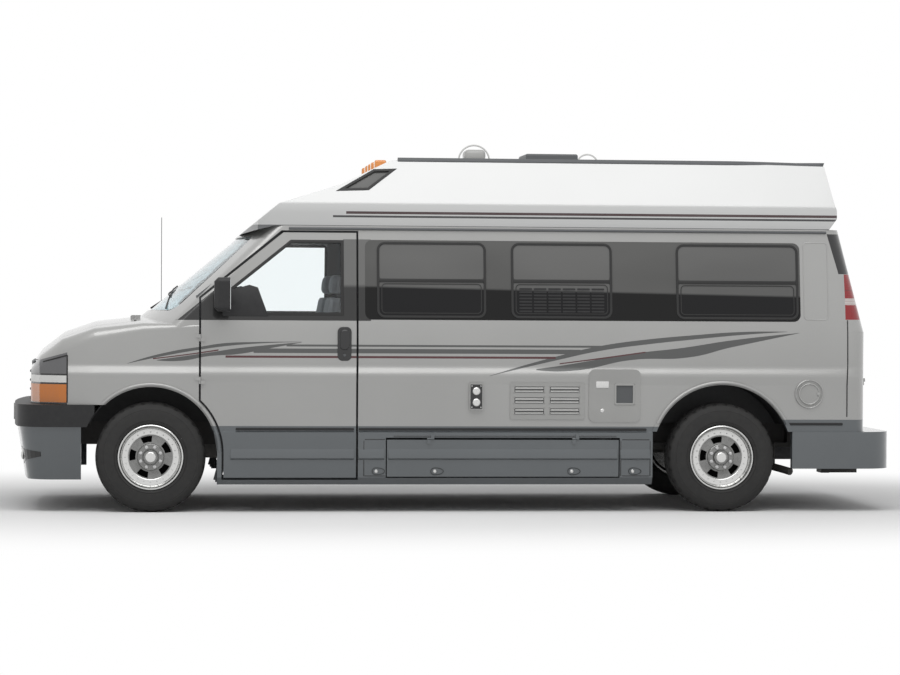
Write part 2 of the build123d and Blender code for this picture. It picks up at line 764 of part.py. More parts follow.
with BuildPart() as rear_glass_right:
    add(mirrored(rear_glass_left.part))

with BuildPart() as rear_frame:
    add(shell.part)
    add(
        block(REAR_WALL, (-CORNER_Y, CORNER_Y), (REAR_DOOR_TOP_Z + PANEL_GAP, GUTTER_Z)),
        mode=Mode.INTERSECT,
    )
    add(
        common(
            shell.part,
            block(REAR_WALL, (-CORNER_Y, CORNER_Y), (AXLE_Z, REAR_DOOR_BOTTOM_Z - PANEL_GAP)),
        )
    )

with BuildPart() as tail_lamp_left:
    add(shell.part)
    add(tail_lamp_zone, mode=Mode.INTERSECT)

with BuildPart() as tail_lamps:
    add(tail_lamp_left.part)
    add(mirrored(tail_lamp_left.part))

with BuildPart() as door_front_right:
    add(mirrored(door_front_left.part))

with BuildPart() as door_glass_right:
    add(mirrored(door_glass_left.part))

# Side skirts, with the locker and its lid on the driver's side
SKIRT_REAR_X = REAR_AXLE_X - REAR_ARCH_RADIUS
LID_FRONT_X = DOOR_REAR_X + 212
LID_REAR_X = DOOR_REAR_X + 1814
LID_BOTTOM_Z = 245
LID_TOP_Z = 498
LID_GAP = 8
LID_THICKNESS = 20
LOCKER_WALL = 10
LOCKER_DEPTH = 330
LID_HINGE_Y = HALF_WIDTH + 2
lid_hinges = [
    hinge((x, -LID_HINGE_Y, LID_TOP_Z + PANEL_GAP / 2), (-1, 0, 0), (0, 0, -1), 30)
    for x in (LID_FRONT_X + 300, LID_REAR_X - 300)
]
skirt_reach = side_prism(
    (
        (FRONT_AXLE_X + FRONT_ARCH_RADIUS + ARCH_LIP, SKIRT_BOTTOM_Z),
        (SKIRT_REAR_X, SKIRT_BOTTOM_Z),
        (SKIRT_REAR_X, CLADDING_TOP_Z),
        (BODY_GAP_X, CLADDING_TOP_Z),
        (BODY_GAP_X, DOOR_BOTTOM_Z - PANEL_GAP),
        (FRONT_AXLE_X + FRONT_ARCH_RADIUS + ARCH_LIP, DOOR_BOTTOM_Z - PANEL_GAP),
    ),
    LEFT_SIDE,
)
locker_x = (LID_FRONT_X - LID_GAP, LID_REAR_X + LID_GAP)
locker_y = (-HALF_WIDTH + WALL, -HALF_WIDTH + WALL + LOCKER_DEPTH)
locker_z = (LID_BOTTOM_Z - LID_GAP, LID_TOP_Z + PANEL_GAP)

with BuildPart() as skirt_blank:
    add(shell.part)
    add(skirt_reach, mode=Mode.INTERSECT)
    add(rear_arch, mode=Mode.SUBTRACT)

with BuildPart() as skirt_left:
    add(skirt_blank.part)
    add(
        block(
            (locker_x[0] - LOCKER_WALL, locker_x[1] + LOCKER_WALL),
            (locker_y[0] - WALL / 2, locker_y[1] + LOCKER_WALL),
            (locker_z[0] - LOCKER_WALL, locker_z[1] + LOCKER_WALL),
        )
    )
    add(block(locker_x, (-FAR, locker_y[1]), locker_z), mode=Mode.SUBTRACT)
    for ear, knuckle in lid_hinges:
        add(ear)

with BuildPart() as side_skirts:
    add(skirt_left.part)
    add(mirrored(skirt_blank.part))

with BuildPart() as storage_lid:
    add(lower_body(0))
    add(lower_body(LID_THICKNESS), mode=Mode.SUBTRACT)
    add(
        block((LID_FRONT_X, LID_REAR_X), LEFT_SIDE, (LID_BOTTOM_Z, LID_TOP_Z)),
        mode=Mode.INTERSECT,
    )
    for ear, knuckle in lid_hinges:
        add(knuckle)

# High roof
ROOF_WALL = 30
ROOF_REAR_X = REAR_FACE_X - 204
# Half of the roof's cross-section: height, half width
ROOF_SECTION = (
    (GUTTER_Z - 160, GUTTER_HALF_WIDTH + 21),
    (GUTTER_Z, GUTTER_HALF_WIDTH),
    (GUTTER_Z + 88, GUTTER_HALF_WIDTH + 23),
    (GUTTER_Z + 150, GUTTER_HALF_WIDTH + 17),
    (GUTTER_Z + 162, GUTTER_HALF_WIDTH - 7),
    (ROOF_TOP_Z - 46, GUTTER_HALF_WIDTH - 177),
)
ROOF_PROFILE = (
    (ROOF_FRONT_X, GUTTER_Z - 160),
    (ROOF_FRONT_X, GUTTER_Z - 75),
    (ROOF_FRONT_X + 275, GUTTER_Z + 153),
    (ROOF_FRONT_X + 700, GUTTER_Z + 290),
    (ROOF_FRONT_X + 1045, GUTTER_Z + 458),
    (ROOF_FRONT_X + 1420, ROOF_TOP_Z),
    (ROOF_REAR_X - 50, ROOF_TOP_Z - 56),
    (ROOF_REAR_X, GUTTER_Z + 130),
    (ROOF_REAR_X, GUTTER_Z + 75),
    (ROOF_REAR_X - 50, GUTTER_Z),
    (ROOF_REAR_X - 50, GUTTER_Z - 160),
)


def roof_blank(inset):
    """Roof outline, inset from its skin: one side view, cross-section and plan together."""
    with BuildPart(mode=Mode.PRIVATE) as roof:
        with BuildSketch(Plane.YZ.offset(ROOF_FRONT_X)) as section:
            rows = [(half, height) for height, half in ROOF_SECTION]
            with BuildLine():
                Polyline(*rows)
                ThreePointArc(rows[-1], (0, ROOF_TOP_Z), (-rows[-1][0], rows[-1][1]))
                Polyline(*[(-half, height) for half, height in reversed(rows)])
                Line((-rows[0][0], rows[0][1]), rows[0])
            make_face()
            offset(amount=-inset, kind=Kind.INTERSECTION, mode=Mode.REPLACE)
        extrude(amount=ROOF_REAR_X - ROOF_FRONT_X)
        with BuildSketch(Plane.XZ.offset(FAR)):
            with BuildLine():
                Polyline(*ROOF_PROFILE, close=True)
            make_face()
            offset(amount=-inset, kind=Kind.INTERSECTION, mode=Mode.REPLACE)
        extrude(amount=-2 * FAR, mode=Mode.INTERSECT)
        front, bow = CABIN_SECTIONS[1][1] - 90, CABIN_SECTIONS[1][2]
        with BuildSketch(Plane.XY.offset(GUTTER_Z - 300)) as plan:
            reach = HALF_WIDTH
            with BuildLine():
                ThreePointArc((front + bow, -reach), (front, 0), (front + bow, reach))
                Polyline(
                    (front + bow, reach),
                    (ROOF_REAR_X, reach),
                    (ROOF_REAR_X, -reach),
                    (front + bow, -reach),
                )
            make_face()
            offset(amount=-inset, kind=Kind.INTERSECTION, mode=Mode.REPLACE)
        extrude(amount=1000, mode=Mode.INTERSECT)
    return roof.part


above_gutter = side_prism(
    (
        (FRONT_AXLE_X, ROOF_SPLIT[0][1]),
        ROOF_SPLIT[0],
        ROOF_SPLIT[1],
        (REAR_END_X, GUTTER_Z),
        (REAR_END_X, ROOF_TOP_Z + 300),
        (FRONT_AXLE_X, ROOF_TOP_Z + 300),
    ),
    (-FAR, FAR),
)

# Brow windows in the sides of the roof's front
BROW_Y = (-FAR, -HALF_WIDTH + 306)


def brow_hole(inset):
    """Opening of a brow window on the driver's side, inset all round."""
    return side_prism(
        (
            (ROOF_FRONT_X + 690 + 2 * inset, GUTTER_Z + 250 + inset),
            (ROOF_FRONT_X + 878 - 2 * inset, GUTTER_Z + 258 + inset),
            (ROOF_FRONT_X + 1062 - 2 * inset, GUTTER_Z + 396 - inset),
            (ROOF_FRONT_X + 934 + 2 * inset, GUTTER_Z + 388 - inset),
        ),
        BROW_Y,
    )


with BuildPart() as high_roof:
    add(roof_blank(0))
    add(roof_blank(ROOF_WALL), mode=Mode.SUBTRACT)
    add(above_gutter, mode=Mode.INTERSECT)
    add(brow_hole(0), mode=Mode.SUBTRACT)
    add(mirrored(brow_hole(0)), mode=Mode.SUBTRACT)

brow_glass = common(
    less(roof_blank(GLASS_DEPTH), roof_blank(GLASS_DEPTH + GLASS_THICKNESS)),
    brow_hole(GLASS_CLEARANCE),
)

with BuildPart() as side_glass:
    add(band_pane(BAND_FRONT_X, BAND_REAR_X, LEFT_SIDE))
    add(band_pane(FIXED_BAND_X, BAND_REAR_X, RIGHT_SIDE))
    add(brow_glass)
    add(mirrored(brow_glass))

# Clearance lamps over the brow, in the node of the head lamps
ROOF_LAMP_X = (ROOF_FRONT_X + 950, ROOF_FRONT_X + 1020)
ROOF_LAMP_Y = (-620, -280, 0, 280, 620)
ROOF_LAMP_HALF = 42
ROOF_LAMP_Z = (GUTTER_Z + 350, GUTTER_Z + 462)

with BuildPart() as headlamps:
    for y in ROOF_LAMP_Y:
        lamp = block(ROOF_LAMP_X, (y - ROOF_LAMP_HALF, y + ROOF_LAMP_HALF), ROOF_LAMP_Z)
        add(less(lamp, roof_blank(0)))
    add(lamp_left.part)
    add(mirrored(lamp_left.part))

# Bumpers
HOUSING_WALL = 8
HOUSING_CLEARANCE = 6
HOUSING_ROOM = HOUSING_CLEARANCE + HOUSING_WALL + 1
BUMPER_BOTTOM_Z = 580
DAM_BOTTOM_Z = 221
BUMPER_REAR_X = FRONT_AXLE_X - 380


def nose_outline(inset):
    """Plan of the bumper's front, inset."""
    half = HALF_WIDTH - 16 - inset
    front = FRONT_END_X + inset
    with BuildSketch(Plane.XY, mode=Mode.PRIVATE) as plan:
        with BuildLine():
            ThreePointArc((front + 70, -half), (front, 0), (front + 70, half))
            Polyline(
                (front + 70, half),
                (BUMPER_REAR_X, half),
                (BUMPER_REAR_X, -half),
                (front + 70, -half),
            )
        make_face()
        fillet(plan.vertices().group_by(Axis.X)[0], 250 - inset / 2)
    return plan.sketch


front_bumper_cut = wheel_arch(FRONT_AXLE_X, ARCH_Z, FRONT_ARCH_RADIUS + HOUSING_ROOM, (-FAR, FAR))

with BuildPart() as front_bumper:
    with BuildSketch(Plane.XY.offset(BUMPER_BOTTOM_Z)):
        add(nose_outline(0))
        add(nose_outline(170), mode=Mode.SUBTRACT)
    extrude(amount=BUMPER_TOP_Z - BUMPER_BOTTOM_Z)
    add(front_bumper_cut, mode=Mode.SUBTRACT)

with BuildPart() as front_air_dam:
    with BuildSketch(Plane.XY.offset(BUMPER_BOTTOM_Z)):
        add(nose_outline(16))
    extrude(amount=DAM_BOTTOM_Z - BUMPER_BOTTOM_Z, taper=9)
    with BuildSketch(Plane.XY.offset(BUMPER_BOTTOM_Z)):
        add(nose_outline(66))
    extrude(amount=DAM_BOTTOM_Z - BUMPER_BOTTOM_Z, taper=9, mode=Mode.SUBTRACT)
    add(front_bumper_cut, mode=Mode.SUBTRACT)
    dam_reach = block((FRONT_END_X, BUMPER_REAR_X - 90), (-FAR, FAR), (0, BUMPER_TOP_Z))
    add(dam_reach, mode=Mode.INTERSECT)

REAR_BUMPER_Z = (300, CLADDING_TOP_Z)
REAR_BUMPER_FRONT_X = REAR_AXLE_X + REAR_ARCH_RADIUS


def tail_outline(inset):
    """Plan of the rear bumper, inset."""
    half = HALF_WIDTH - inset
    back = REAR_END_X - inset
    with BuildSketch(Plane.XY, mode=Mode.PRIVATE) as plan:
        with BuildLine():
            Polyline(
                (REAR_BUMPER_FRONT_X, -half),
                (back, -half),
                (back, half),
                (REAR_BUMPER_FRONT_X, half),
                close=True,
            )
        make_face()
        fillet(plan.vertices().group_by(Axis.X)[-1], 200 - inset / 2)
    return plan.sketch


with BuildPart() as rear_bumper:
    with BuildSketch(Plane.XY.offset(REAR_BUMPER_Z[0])):
        add(tail_outline(0))
        add(tail_outline(60), mode=Mode.SUBTRACT)
    extrude(amount=REAR_BUMPER_Z[1] - REAR_BUMPER_Z[0])
    with BuildSketch(Plane.XY.offset(REAR_BUMPER_Z[1] - 30)):
        add(tail_outline(0))
        with Locations(((REAR_BUMPER_FRONT_X + REAR_FACE_X) / 2, 0)):
            Rectangle(
                REAR_FACE_X - REAR_BUMPER_FRONT_X,
                2 * HALF_WIDTH - 2 * WALL,
                mode=Mode.SUBTRACT,
            )
    extrude(amount=30)

# Chassis frame
RAIL_Y = (390, 470)
RAIL_Z = (440, FLOOR_TOP_Z - FLOOR_THICKNESS)
RAIL_X = (NOSE_X + 65, REAR_FACE_X - WALL)
CROSS_MEMBER_WIDTH = 60
CROSS_MEMBER_Z = (RAIL_Z[0] + 40, RAIL_Z[1])
CROSS_MEMBERS = (
    RAIL_X[0],
    FRONT_AXLE_X + 1275,
    -50,
    1000,
    REAR_AXLE_X + 660,
    RAIL_X[1] - CROSS_MEMBER_WIDTH,
)
RECEIVER_SIDE = 76
RECEIVER_BORE = 51
RECEIVER_Z = 255
RECEIVER_MOUTH_X = REAR_END_X - 20
HITCH_PIN_RADIUS = 8.2
HITCH_PIN_X = RECEIVER_MOUTH_X - 60

with BuildPart() as chassis_frame:
    for side in (-1, 1):
        add(block(RAIL_X, sorted((side * RAIL_Y[0], side * RAIL_Y[1])), RAIL_Z))

with BuildPart() as cross_members:
    for x in CROSS_MEMBERS:
        add(block((x, x + CROSS_MEMBER_WIDTH), (-RAIL_Y[0], RAIL_Y[0]), CROSS_MEMBER_Z))

with BuildPart() as hitch_receiver:
    add(
        block(
            (RAIL_X[1] - CROSS_MEMBER_WIDTH, RAIL_X[1]),
            (-RECEIVER_SIDE, RECEIVER_SIDE),
            (RECEIVER_Z - RECEIVER_SIDE / 2, CROSS_MEMBER_Z[0]),
        )
    )
    add(
        block(
            (RAIL_X[1] - CROSS_MEMBER_WIDTH, RECEIVER_MOUTH_X),
            (-RECEIVER_SIDE / 2, RECEIVER_SIDE / 2),
            (RECEIVER_Z - RECEIVER_SIDE / 2, RECEIVER_Z + RECEIVER_SIDE / 2),
        )
    )
    add(
        block(
            (RAIL_X[1], REAR_END_X),
            (-RECEIVER_BORE / 2, RECEIVER_BORE / 2),
            (RECEIVER_Z - RECEIVER_BORE / 2, RECEIVER_Z + RECEIVER_BORE / 2),
        ),
        mode=Mode.SUBTRACT,
    )
    add(
        cross_cylinder(HITCH_PIN_X, RECEIVER_Z, HITCH_PIN_RADIUS, (-RECEIVER_SIDE, RECEIVER_SIDE)),
        mode=Mode.SUBTRACT,
    )

# Floor, bulkhead and wheel housings
FLOOR_HALF = HALF_WIDTH - 16 - WALL
FRONT_HOUSING = (BULKHEAD_HALF, HALF_WIDTH - 112)
REAR_HOUSING = (590, FLOOR_HALF)
HOUSING_DEPTH = HOUSING_CLEARANCE + HOUSING_WALL
ENGINE_HALF = 300
COVER_HALF = 345
COVER_REAR_X = FRONT_AXLE_X + 720
COVER_TOP_Z = 1080
COVER_WALL = 20
BULKHEAD_THICKNESS = 20
CAB_FLOOR_X = FRONT_AXLE_X + FRONT_ARCH_RADIUS - 80


def housing(axle_x, arch_z, radius, y):
    """Round-topped wheel housing on the driver's side, closed towards the middle."""
    outer = radius + HOUSING_DEPTH
    room = wheel_arch(axle_x, arch_z, outer - HOUSING_WALL, (-y[1], -y[0] - HOUSING_WALL))
    under_floor = block((axle_x - 2 * radius, axle_x + 2 * radius), (-FAR, 0), (-FAR, RAIL_Z[1]))
    return less(wheel_arch(axle_x, arch_z, outer, (-y[1], -y[0])), room, under_floor)


rear_housing = housing(REAR_AXLE_X, REAR_ARCH_Z, REAR_ARCH_RADIUS, REAR_HOUSING)
front_housing = housing(FRONT_AXLE_X, ARCH_Z, FRONT_ARCH_RADIUS, FRONT_HOUSING)
WELLS = (
    wheel_arch(REAR_AXLE_X, REAR_ARCH_Z, REAR_ARCH_RADIUS + HOUSING_DEPTH, (-FAR, -REAR_HOUSING[0])),
    wheel_arch(FRONT_AXLE_X, ARCH_Z, FRONT_ARCH_RADIUS + HOUSING_DEPTH, (-FAR, -FRONT_HOUSING[0])),
)
engine_room = block(
    (BULKHEAD_X, COVER_REAR_X),
    (-COVER_HALF, COVER_HALF),
    (RAIL_Z[1], COVER_TOP_Z),
)

with BuildPart() as floor_pan:
    with BuildSketch(Plane.XY.offset(RAIL_Z[1])) as floor_plan:
        with BuildLine():
            Polyline(
                (BULKHEAD_X, -BULKHEAD_HALF),
                (CAB_FLOOR_X, -BULKHEAD_HALF),
                (CAB_FLOOR_X, -FLOOR_HALF),
                (REAR_FACE_X - WALL, -FLOOR_HALF),
                (REAR_FACE_X - WALL, FLOOR_HALF),
                (CAB_FLOOR_X, FLOOR_HALF),
                (CAB_FLOOR_X, BULKHEAD_HALF),
                (BULKHEAD_X, BULKHEAD_HALF),
                close=True,
            )
        make_face()
        fillet(floor_plan.vertices().group_by(Axis.X)[-1], REAR_CORNER_RADIUS - WALL)
    extrude(amount=FLOOR_THICKNESS)
    add(engine_room, mode=Mode.SUBTRACT)
    for well in WELLS:
        add(well, mode=Mode.SUBTRACT)
        add(mirrored(well), mode=Mode.SUBTRACT)

with BuildPart() as bulkhead:
    add(
        block(
            (BULKHEAD_X, BULKHEAD_X + BULKHEAD_THICKNESS),
            (-BULKHEAD_HALF, BULKHEAD_HALF),
            (FLOOR_TOP_Z, BELT_Z),
        )
    )
    add(engine_room, mode=Mode.SUBTRACT)

with BuildPart() as wheel_housings:
    for cover in (rear_housing, front_housing):
        add(cover)
        add(mirrored(cover))

# Engine, gearbox, shaft, exhaust and tank
SHAFT_Z = 400
ENGINE_X = (FRONT_AXLE_X - 640, FRONT_AXLE_X + 300)
ENGINE_Z = (500, 1040)
TANK_X = (REAR_AXLE_X + 240, REAR_AXLE_X + 640)
with BuildPart() as powertrain:
    add(block(ENGINE_X, (-ENGINE_HALF, ENGINE_HALF), ENGINE_Z))
    add(block((ENGINE_X[1], CROSS_MEMBERS[1]), (-160, 160), (SHAFT_Z - 70, RAIL_Z[1] - 10)))
    with BuildSketch(Plane.YZ.offset(CROSS_MEMBERS[1])):
        with Locations((0, SHAFT_Z)):
            Circle(40)
    extrude(amount=REAR_AXLE_X - 140 - CROSS_MEMBERS[1])

with BuildPart() as fuel_tank:
    add(block(TANK_X, (-RAIL_Y[0], RAIL_Y[0]), (330, RAIL_Z[1] - 10)))
    fillet(fuel_tank.edges().filter_by(Axis.X).group_by(Axis.Z)[0], 60)

# Rear axle on leaf springs
SPRING_Y = (RAIL_Y[1] + 30, RAIL_Y[1] + 95)
SPRING_Z = (AXLE_Z + 55, AXLE_Z + 85)
SPRING_HALF = 600
HUB_FACE = 20
HUB_RADIUS = 64
AXLE_RADIUS = 55
AXLE_END_Y = TRACK_HALF + HUB_FACE - 5
SPINDLE_END_Y = TRACK_HALF + 80
with BuildPart() as rear_axle:
    add(cross_cylinder(REAR_AXLE_X, AXLE_Z, AXLE_RADIUS, (-AXLE_END_Y, AXLE_END_Y)))
    add(cross_cylinder(REAR_AXLE_X, AXLE_Z, 135, (-95, 95)))
    add(cross_cylinder(REAR_AXLE_X, AXLE_Z, SPINDLE_RADIUS, (-SPINDLE_END_Y, SPINDLE_END_Y)))
    for side in (-1, 1):
        leaf_y = sorted((side * SPRING_Y[0], side * SPRING_Y[1]))
        add(block((REAR_AXLE_X - SPRING_HALF, REAR_AXLE_X + SPRING_HALF), leaf_y, SPRING_Z))
        add(block((REAR_AXLE_X - 50, REAR_AXLE_X + 50), leaf_y, (AXLE_Z, SPRING_Z[1])))
        hanger_y = sorted((side * RAIL_Y[1], side * SPRING_Y[1]))
        for x in (REAR_AXLE_X - SPRING_HALF, REAR_AXLE_X + SPRING_HALF - 50):
            add(block((x, x + 50), hanger_y, (SPRING_Z[0], RAIL_Z[1] - 30)))

# Front suspension arms with their kingpins, and the knuckles that turn on them
ARM_HALF = 40
ARM_LOW_Z = (AXLE_Z - 150, AXLE_Z - 113)
ARM_HIGH_Z = (AXLE_Z + 113, AXLE_Z + 150)
KNUCKLE_RADIUS = 38
arm_y = (-KINGPIN_Y - 34, -RAIL_Y[1])
with BuildPart() as suspension_left:
    arm_x = (FRONT_AXLE_X - ARM_HALF, FRONT_AXLE_X + ARM_HALF)
    add(block(arm_x, arm_y, ARM_LOW_Z))
    add(block(arm_x, arm_y, ARM_HIGH_Z))
    post_x = (arm_x[0] - ARM_HALF, arm_x[1] + ARM_HALF)
    add(block(post_x, (-RAIL_Y[1], -RAIL_Y[0]), (ARM_LOW_Z[0], RAIL_Z[0])))
    add(upright_cylinder(FRONT_AXLE_X, -KINGPIN_Y, KINGPIN_RADIUS, (ARM_LOW_Z[0], ARM_HIGH_Z[1])))

with BuildPart() as front_suspension:
    add(suspension_left.part)
    add(mirrored(suspension_left.part))
    add(block(post_x, (-RAIL_Y[0], RAIL_Y[0]), (RAIL_Z[0] - 60, RAIL_Z[0] + 20)))

with BuildPart() as knuckle_left:
    add(
        upright_cylinder(
            FRONT_AXLE_X,
            -KINGPIN_Y,
            KNUCKLE_RADIUS,
            (ARM_LOW_Z[1] + RUNNING_CLEARANCE, ARM_HIGH_Z[0] - RUNNING_CLEARANCE),
        )
    )
    add(cross_cylinder(FRONT_AXLE_X, AXLE_Z, AXLE_RADIUS, (-AXLE_END_Y, -KINGPIN_Y)))
    add(cross_cylinder(FRONT_AXLE_X, AXLE_Z, SPINDLE_RADIUS, (-SPINDLE_END_Y, -KINGPIN_Y)))
    kingpin_bore = KINGPIN_RADIUS + RUNNING_CLEARANCE
    add(
        upright_cylinder(FRONT_AXLE_X, -KINGPIN_Y, kingpin_bore, (0, 2 * AXLE_Z)),
        mode=Mode.SUBTRACT,
    )

with BuildPart() as knuckle_right:
    add(mirrored(knuckle_left.part))

# Wheel and tyre, made round the Y axis with the outside towards -Y: radius, distance outwards
LIP_RADIUS = RIM_RADIUS - 30
DISC_FACE = 60
RIM_HALF = 112
SHOULDER_RADIUS = TYRE_RADIUS - 22
TREAD_HALF = TYRE_WIDTH / 2 - 20
WHEEL_PROFILE = (
    (SPINDLE_RADIUS + RUNNING_CLEARANCE, HUB_FACE),
    (SPINDLE_RADIUS + RUNNING_CLEARANCE, 88),
    (HUB_RADIUS, 88),
    (HUB_RADIUS, DISC_FACE),
    (LIP_RADIUS, DISC_FACE),
    (LIP_RADIUS, RIM_HALF),
    (RIM_RADIUS, RIM_HALF),
    (RIM_RADIUS, -RIM_HALF),
    (LIP_RADIUS, -RIM_HALF),
    (LIP_RADIUS, HUB_FACE),
)
TYRE_PROFILE = (
    (RIM_RADIUS + RUNNING_CLEARANCE, -TYRE_WIDTH / 2),
    (SHOULDER_RADIUS, -TYRE_WIDTH / 2),
    (TYRE_RADIUS, -TREAD_HALF),
    (TYRE_RADIUS, TREAD_HALF),
    (SHOULDER_RADIUS, TYRE_WIDTH / 2),
    (RIM_RADIUS + RUNNING_CLEARANCE, TYRE_WIDTH / 2),
)
SLOTS = 5
SLOT_RADIUS = 128


def turned(profile):
    """Solid of revolution round the Y axis from (radius, distance outwards) points."""
    with BuildPart(mode=Mode.PRIVATE) as ring:
        with BuildSketch(Plane.XY):
            with BuildLine():
                Polyline(*[(radius, -out) for radius, out in profile], close=True)
            make_face()
        revolve(axis=Axis.Y)
    return ring.part


with BuildPart() as wheel_blank:
    add(turned(WHEEL_PROFILE))
    with BuildSketch(Plane.XZ):
        with PolarLocations(SLOT_RADIUS, SLOTS, start_angle=18):
            Trapezoid(64, 44, 60, rotation=90)
    extrude(amount=100, mode=Mode.SUBTRACT)

tyre_blank = turned(TYRE_PROFILE)

# Wheel places: name, axle station, side, turn about Z
WHEEL_PLACES = (
    ("front_left", FRONT_AXLE_X, -1, 0),
    ("front_right", FRONT_AXLE_X, 1, 180),
    ("rear_left", REAR_AXLE_X, -1, 0),
    ("rear_right", REAR_AXLE_X, 1, 180),
)
wheels = {}
for corner, axle_x, side, turn in WHEEL_PLACES:
    place = Location((axle_x, side * TRACK_HALF, AXLE_Z), (0, 0, turn))
    with BuildPart() as wheel:
        with Locations(place):
            add(wheel_blank.part)
    with BuildPart() as tyre:
        with Locations(place):
            add(tyre_blank)
    wheels["wheel_" + corner] = wheel
    wheels["tyre_" + corner] = tyre

# Mirrors
MIRROR_X = (DOOR_FRONT_X + 85, DOOR_FRONT_X + 190)
MIRROR_Y = (-1240, -1040)
MIRROR_Z = (1370, 1600)
with BuildPart() as mirror_left:
    add(block(MIRROR_X, MIRROR_Y, MIRROR_Z))
    fillet(mirror_left.edges().filter_by(Axis.X), 35)
    chamfer(mirror_left.faces().sort_by(Axis.X)[0].edges(), 26)
    add(
        block(
            (MIRROR_X[0] + 20, MIRROR_X[1] - 25),
            (MIRROR_Y[1] - 30, -HALF_WIDTH + 50),
            (MIRROR_Z[0] + 20, MIRROR_Z[0] + 80),
        )
    )
    add(less(block((NOSE_X, 0), LEFT_SIDE, (0, ROOF_TOP_Z)), cabin(0)), mode=Mode.INTERSECT)

with BuildPart() as mirror_right:
    add(mirrored(mirror_left.part))

# Dashboard with the engine cover and the steering wheel
DASH_X = (FRONT_AXLE_X + 150, FRONT_AXLE_X + 400)
DASH_HALF = 850
STEERING_PLACE = Location((FRONT_AXLE_X + 610, -430, 1330), (0, 60, 0))
with BuildPart() as dashboard:
    add(block(DASH_X, (-DASH_HALF, DASH_HALF), (1010, 1240)))
    fillet(dashboard.edges().filter_by(Axis.Y).group_by(Axis.X)[-1], 60)
    add(
        block(
            (BULKHEAD_X + BULKHEAD_THICKNESS, COVER_REAR_X),
            (-COVER_HALF, COVER_HALF),
            (FLOOR_TOP_Z, COVER_TOP_Z),
        )
    )
    add(
        block(
            (BULKHEAD_X, COVER_REAR_X - COVER_WALL),
            (-COVER_HALF + COVER_WALL, COVER_HALF - COVER_WALL),
            (FLOOR_TOP_Z, COVER_TOP_Z - COVER_WALL),
        ),
        mode=Mode.SUBTRACT,
    )
    with Locations(STEERING_PLACE):
        Cylinder(195, 24)
        Cylinder(171, 24, mode=Mode.SUBTRACT)
        Box(360, 40, 16)
        Cylinder(45, 26)
    with Locations(STEERING_PLACE * Location((0, 0, -150))):
        Cylinder(28, 320)

# Front seats
SEAT_Y = (180, 690)
PEDESTAL_X = (FRONT_AXLE_X + 900, FRONT_AXLE_X + 1250)
with BuildPart() as seat_left:
    with BuildSketch(Plane.XZ.offset(SEAT_Y[0])):
        with BuildLine():
            FilletPolyline(
                (FRONT_AXLE_X + 760, 900),
                (FRONT_AXLE_X + 760, 1030),
                (FRONT_AXLE_X + 1190, 1010),
                (FRONT_AXLE_X + 1290, 1640),
                (FRONT_AXLE_X + 1390, 1620),
                (FRONT_AXLE_X + 1310, 900),
                radius=35,
                close=True,
            )
        make_face()
    extrude(amount=SEAT_Y[1] - SEAT_Y[0])
    add(block(PEDESTAL_X, (-SEAT_Y[1] + 60, -SEAT_Y[0] - 60), (FLOOR_TOP_Z, 920)))

with BuildPart() as front_seats:
    add(seat_left.part)
    add(mirrored(seat_left.part))

# Living space: galley, bench base and bench cushion
GALLEY_X = (DOOR_REAR_X + 220, SKIRT_REAR_X - 250)
BENCH_X = (SKIRT_REAR_X + 150, REAR_FACE_X - 160)
BENCH_HALF = 570
BENCH_Z = 960
with BuildPart() as galley:
    add(block(GALLEY_X, (-FLOOR_HALF + 2, -500), (FLOOR_TOP_Z, BELT_Z)))
    add(block(BENCH_X, (-BENCH_HALF, BENCH_HALF), (FLOOR_TOP_Z, BENCH_Z)))

with BuildPart() as rear_bench:
    add(block(BENCH_X, (-BENCH_HALF, BENCH_HALF), (BENCH_Z, BENCH_Z + 120)))
    fillet(rear_bench.edges().filter_by(Axis.Z), 60)

# Fittings on the driver's side: front, rear, bottom, top, proud height, corner radius
FITTINGS = (
    (BAND_FRONT_X + 1000, BAND_FRONT_X + 1513, 640, 895, 8, 12),
    (BAND_FRONT_X + 1547, BAND_FRONT_X + 1903, 622, 985, 9, 40),
    (BAND_FRONT_X + 717, BAND_FRONT_X + 813, 700, 890, 22, 10),
)
FILLER_X = REAR_AXLE_X + 610
FILLER_Z = 818
FILLER_RADIUS = 100


def proud_skin(height):
    """Layer on the outside of the body, of the given height."""
    return less(lower_body(-height), lower_body(0))


# Recesses: front, rear, bottom, top
LOUVRE_SIZE = (215, 52)
LOUVRES = [(x, 668 + 75 * row) for x in (BAND_FRONT_X + 1025, BAND_FRONT_X + 1270) for row in range(3)]
HATCH_RECESS = ((BAND_FRONT_X + 1725, BAND_FRONT_X + 1865), (740, 885))
SOCKET_X = BAND_FRONT_X + 765
SOCKET_HEIGHTS = (755, 832)
SOCKET_RADIUS = 26
FILLER_GROOVE = (74, 92)

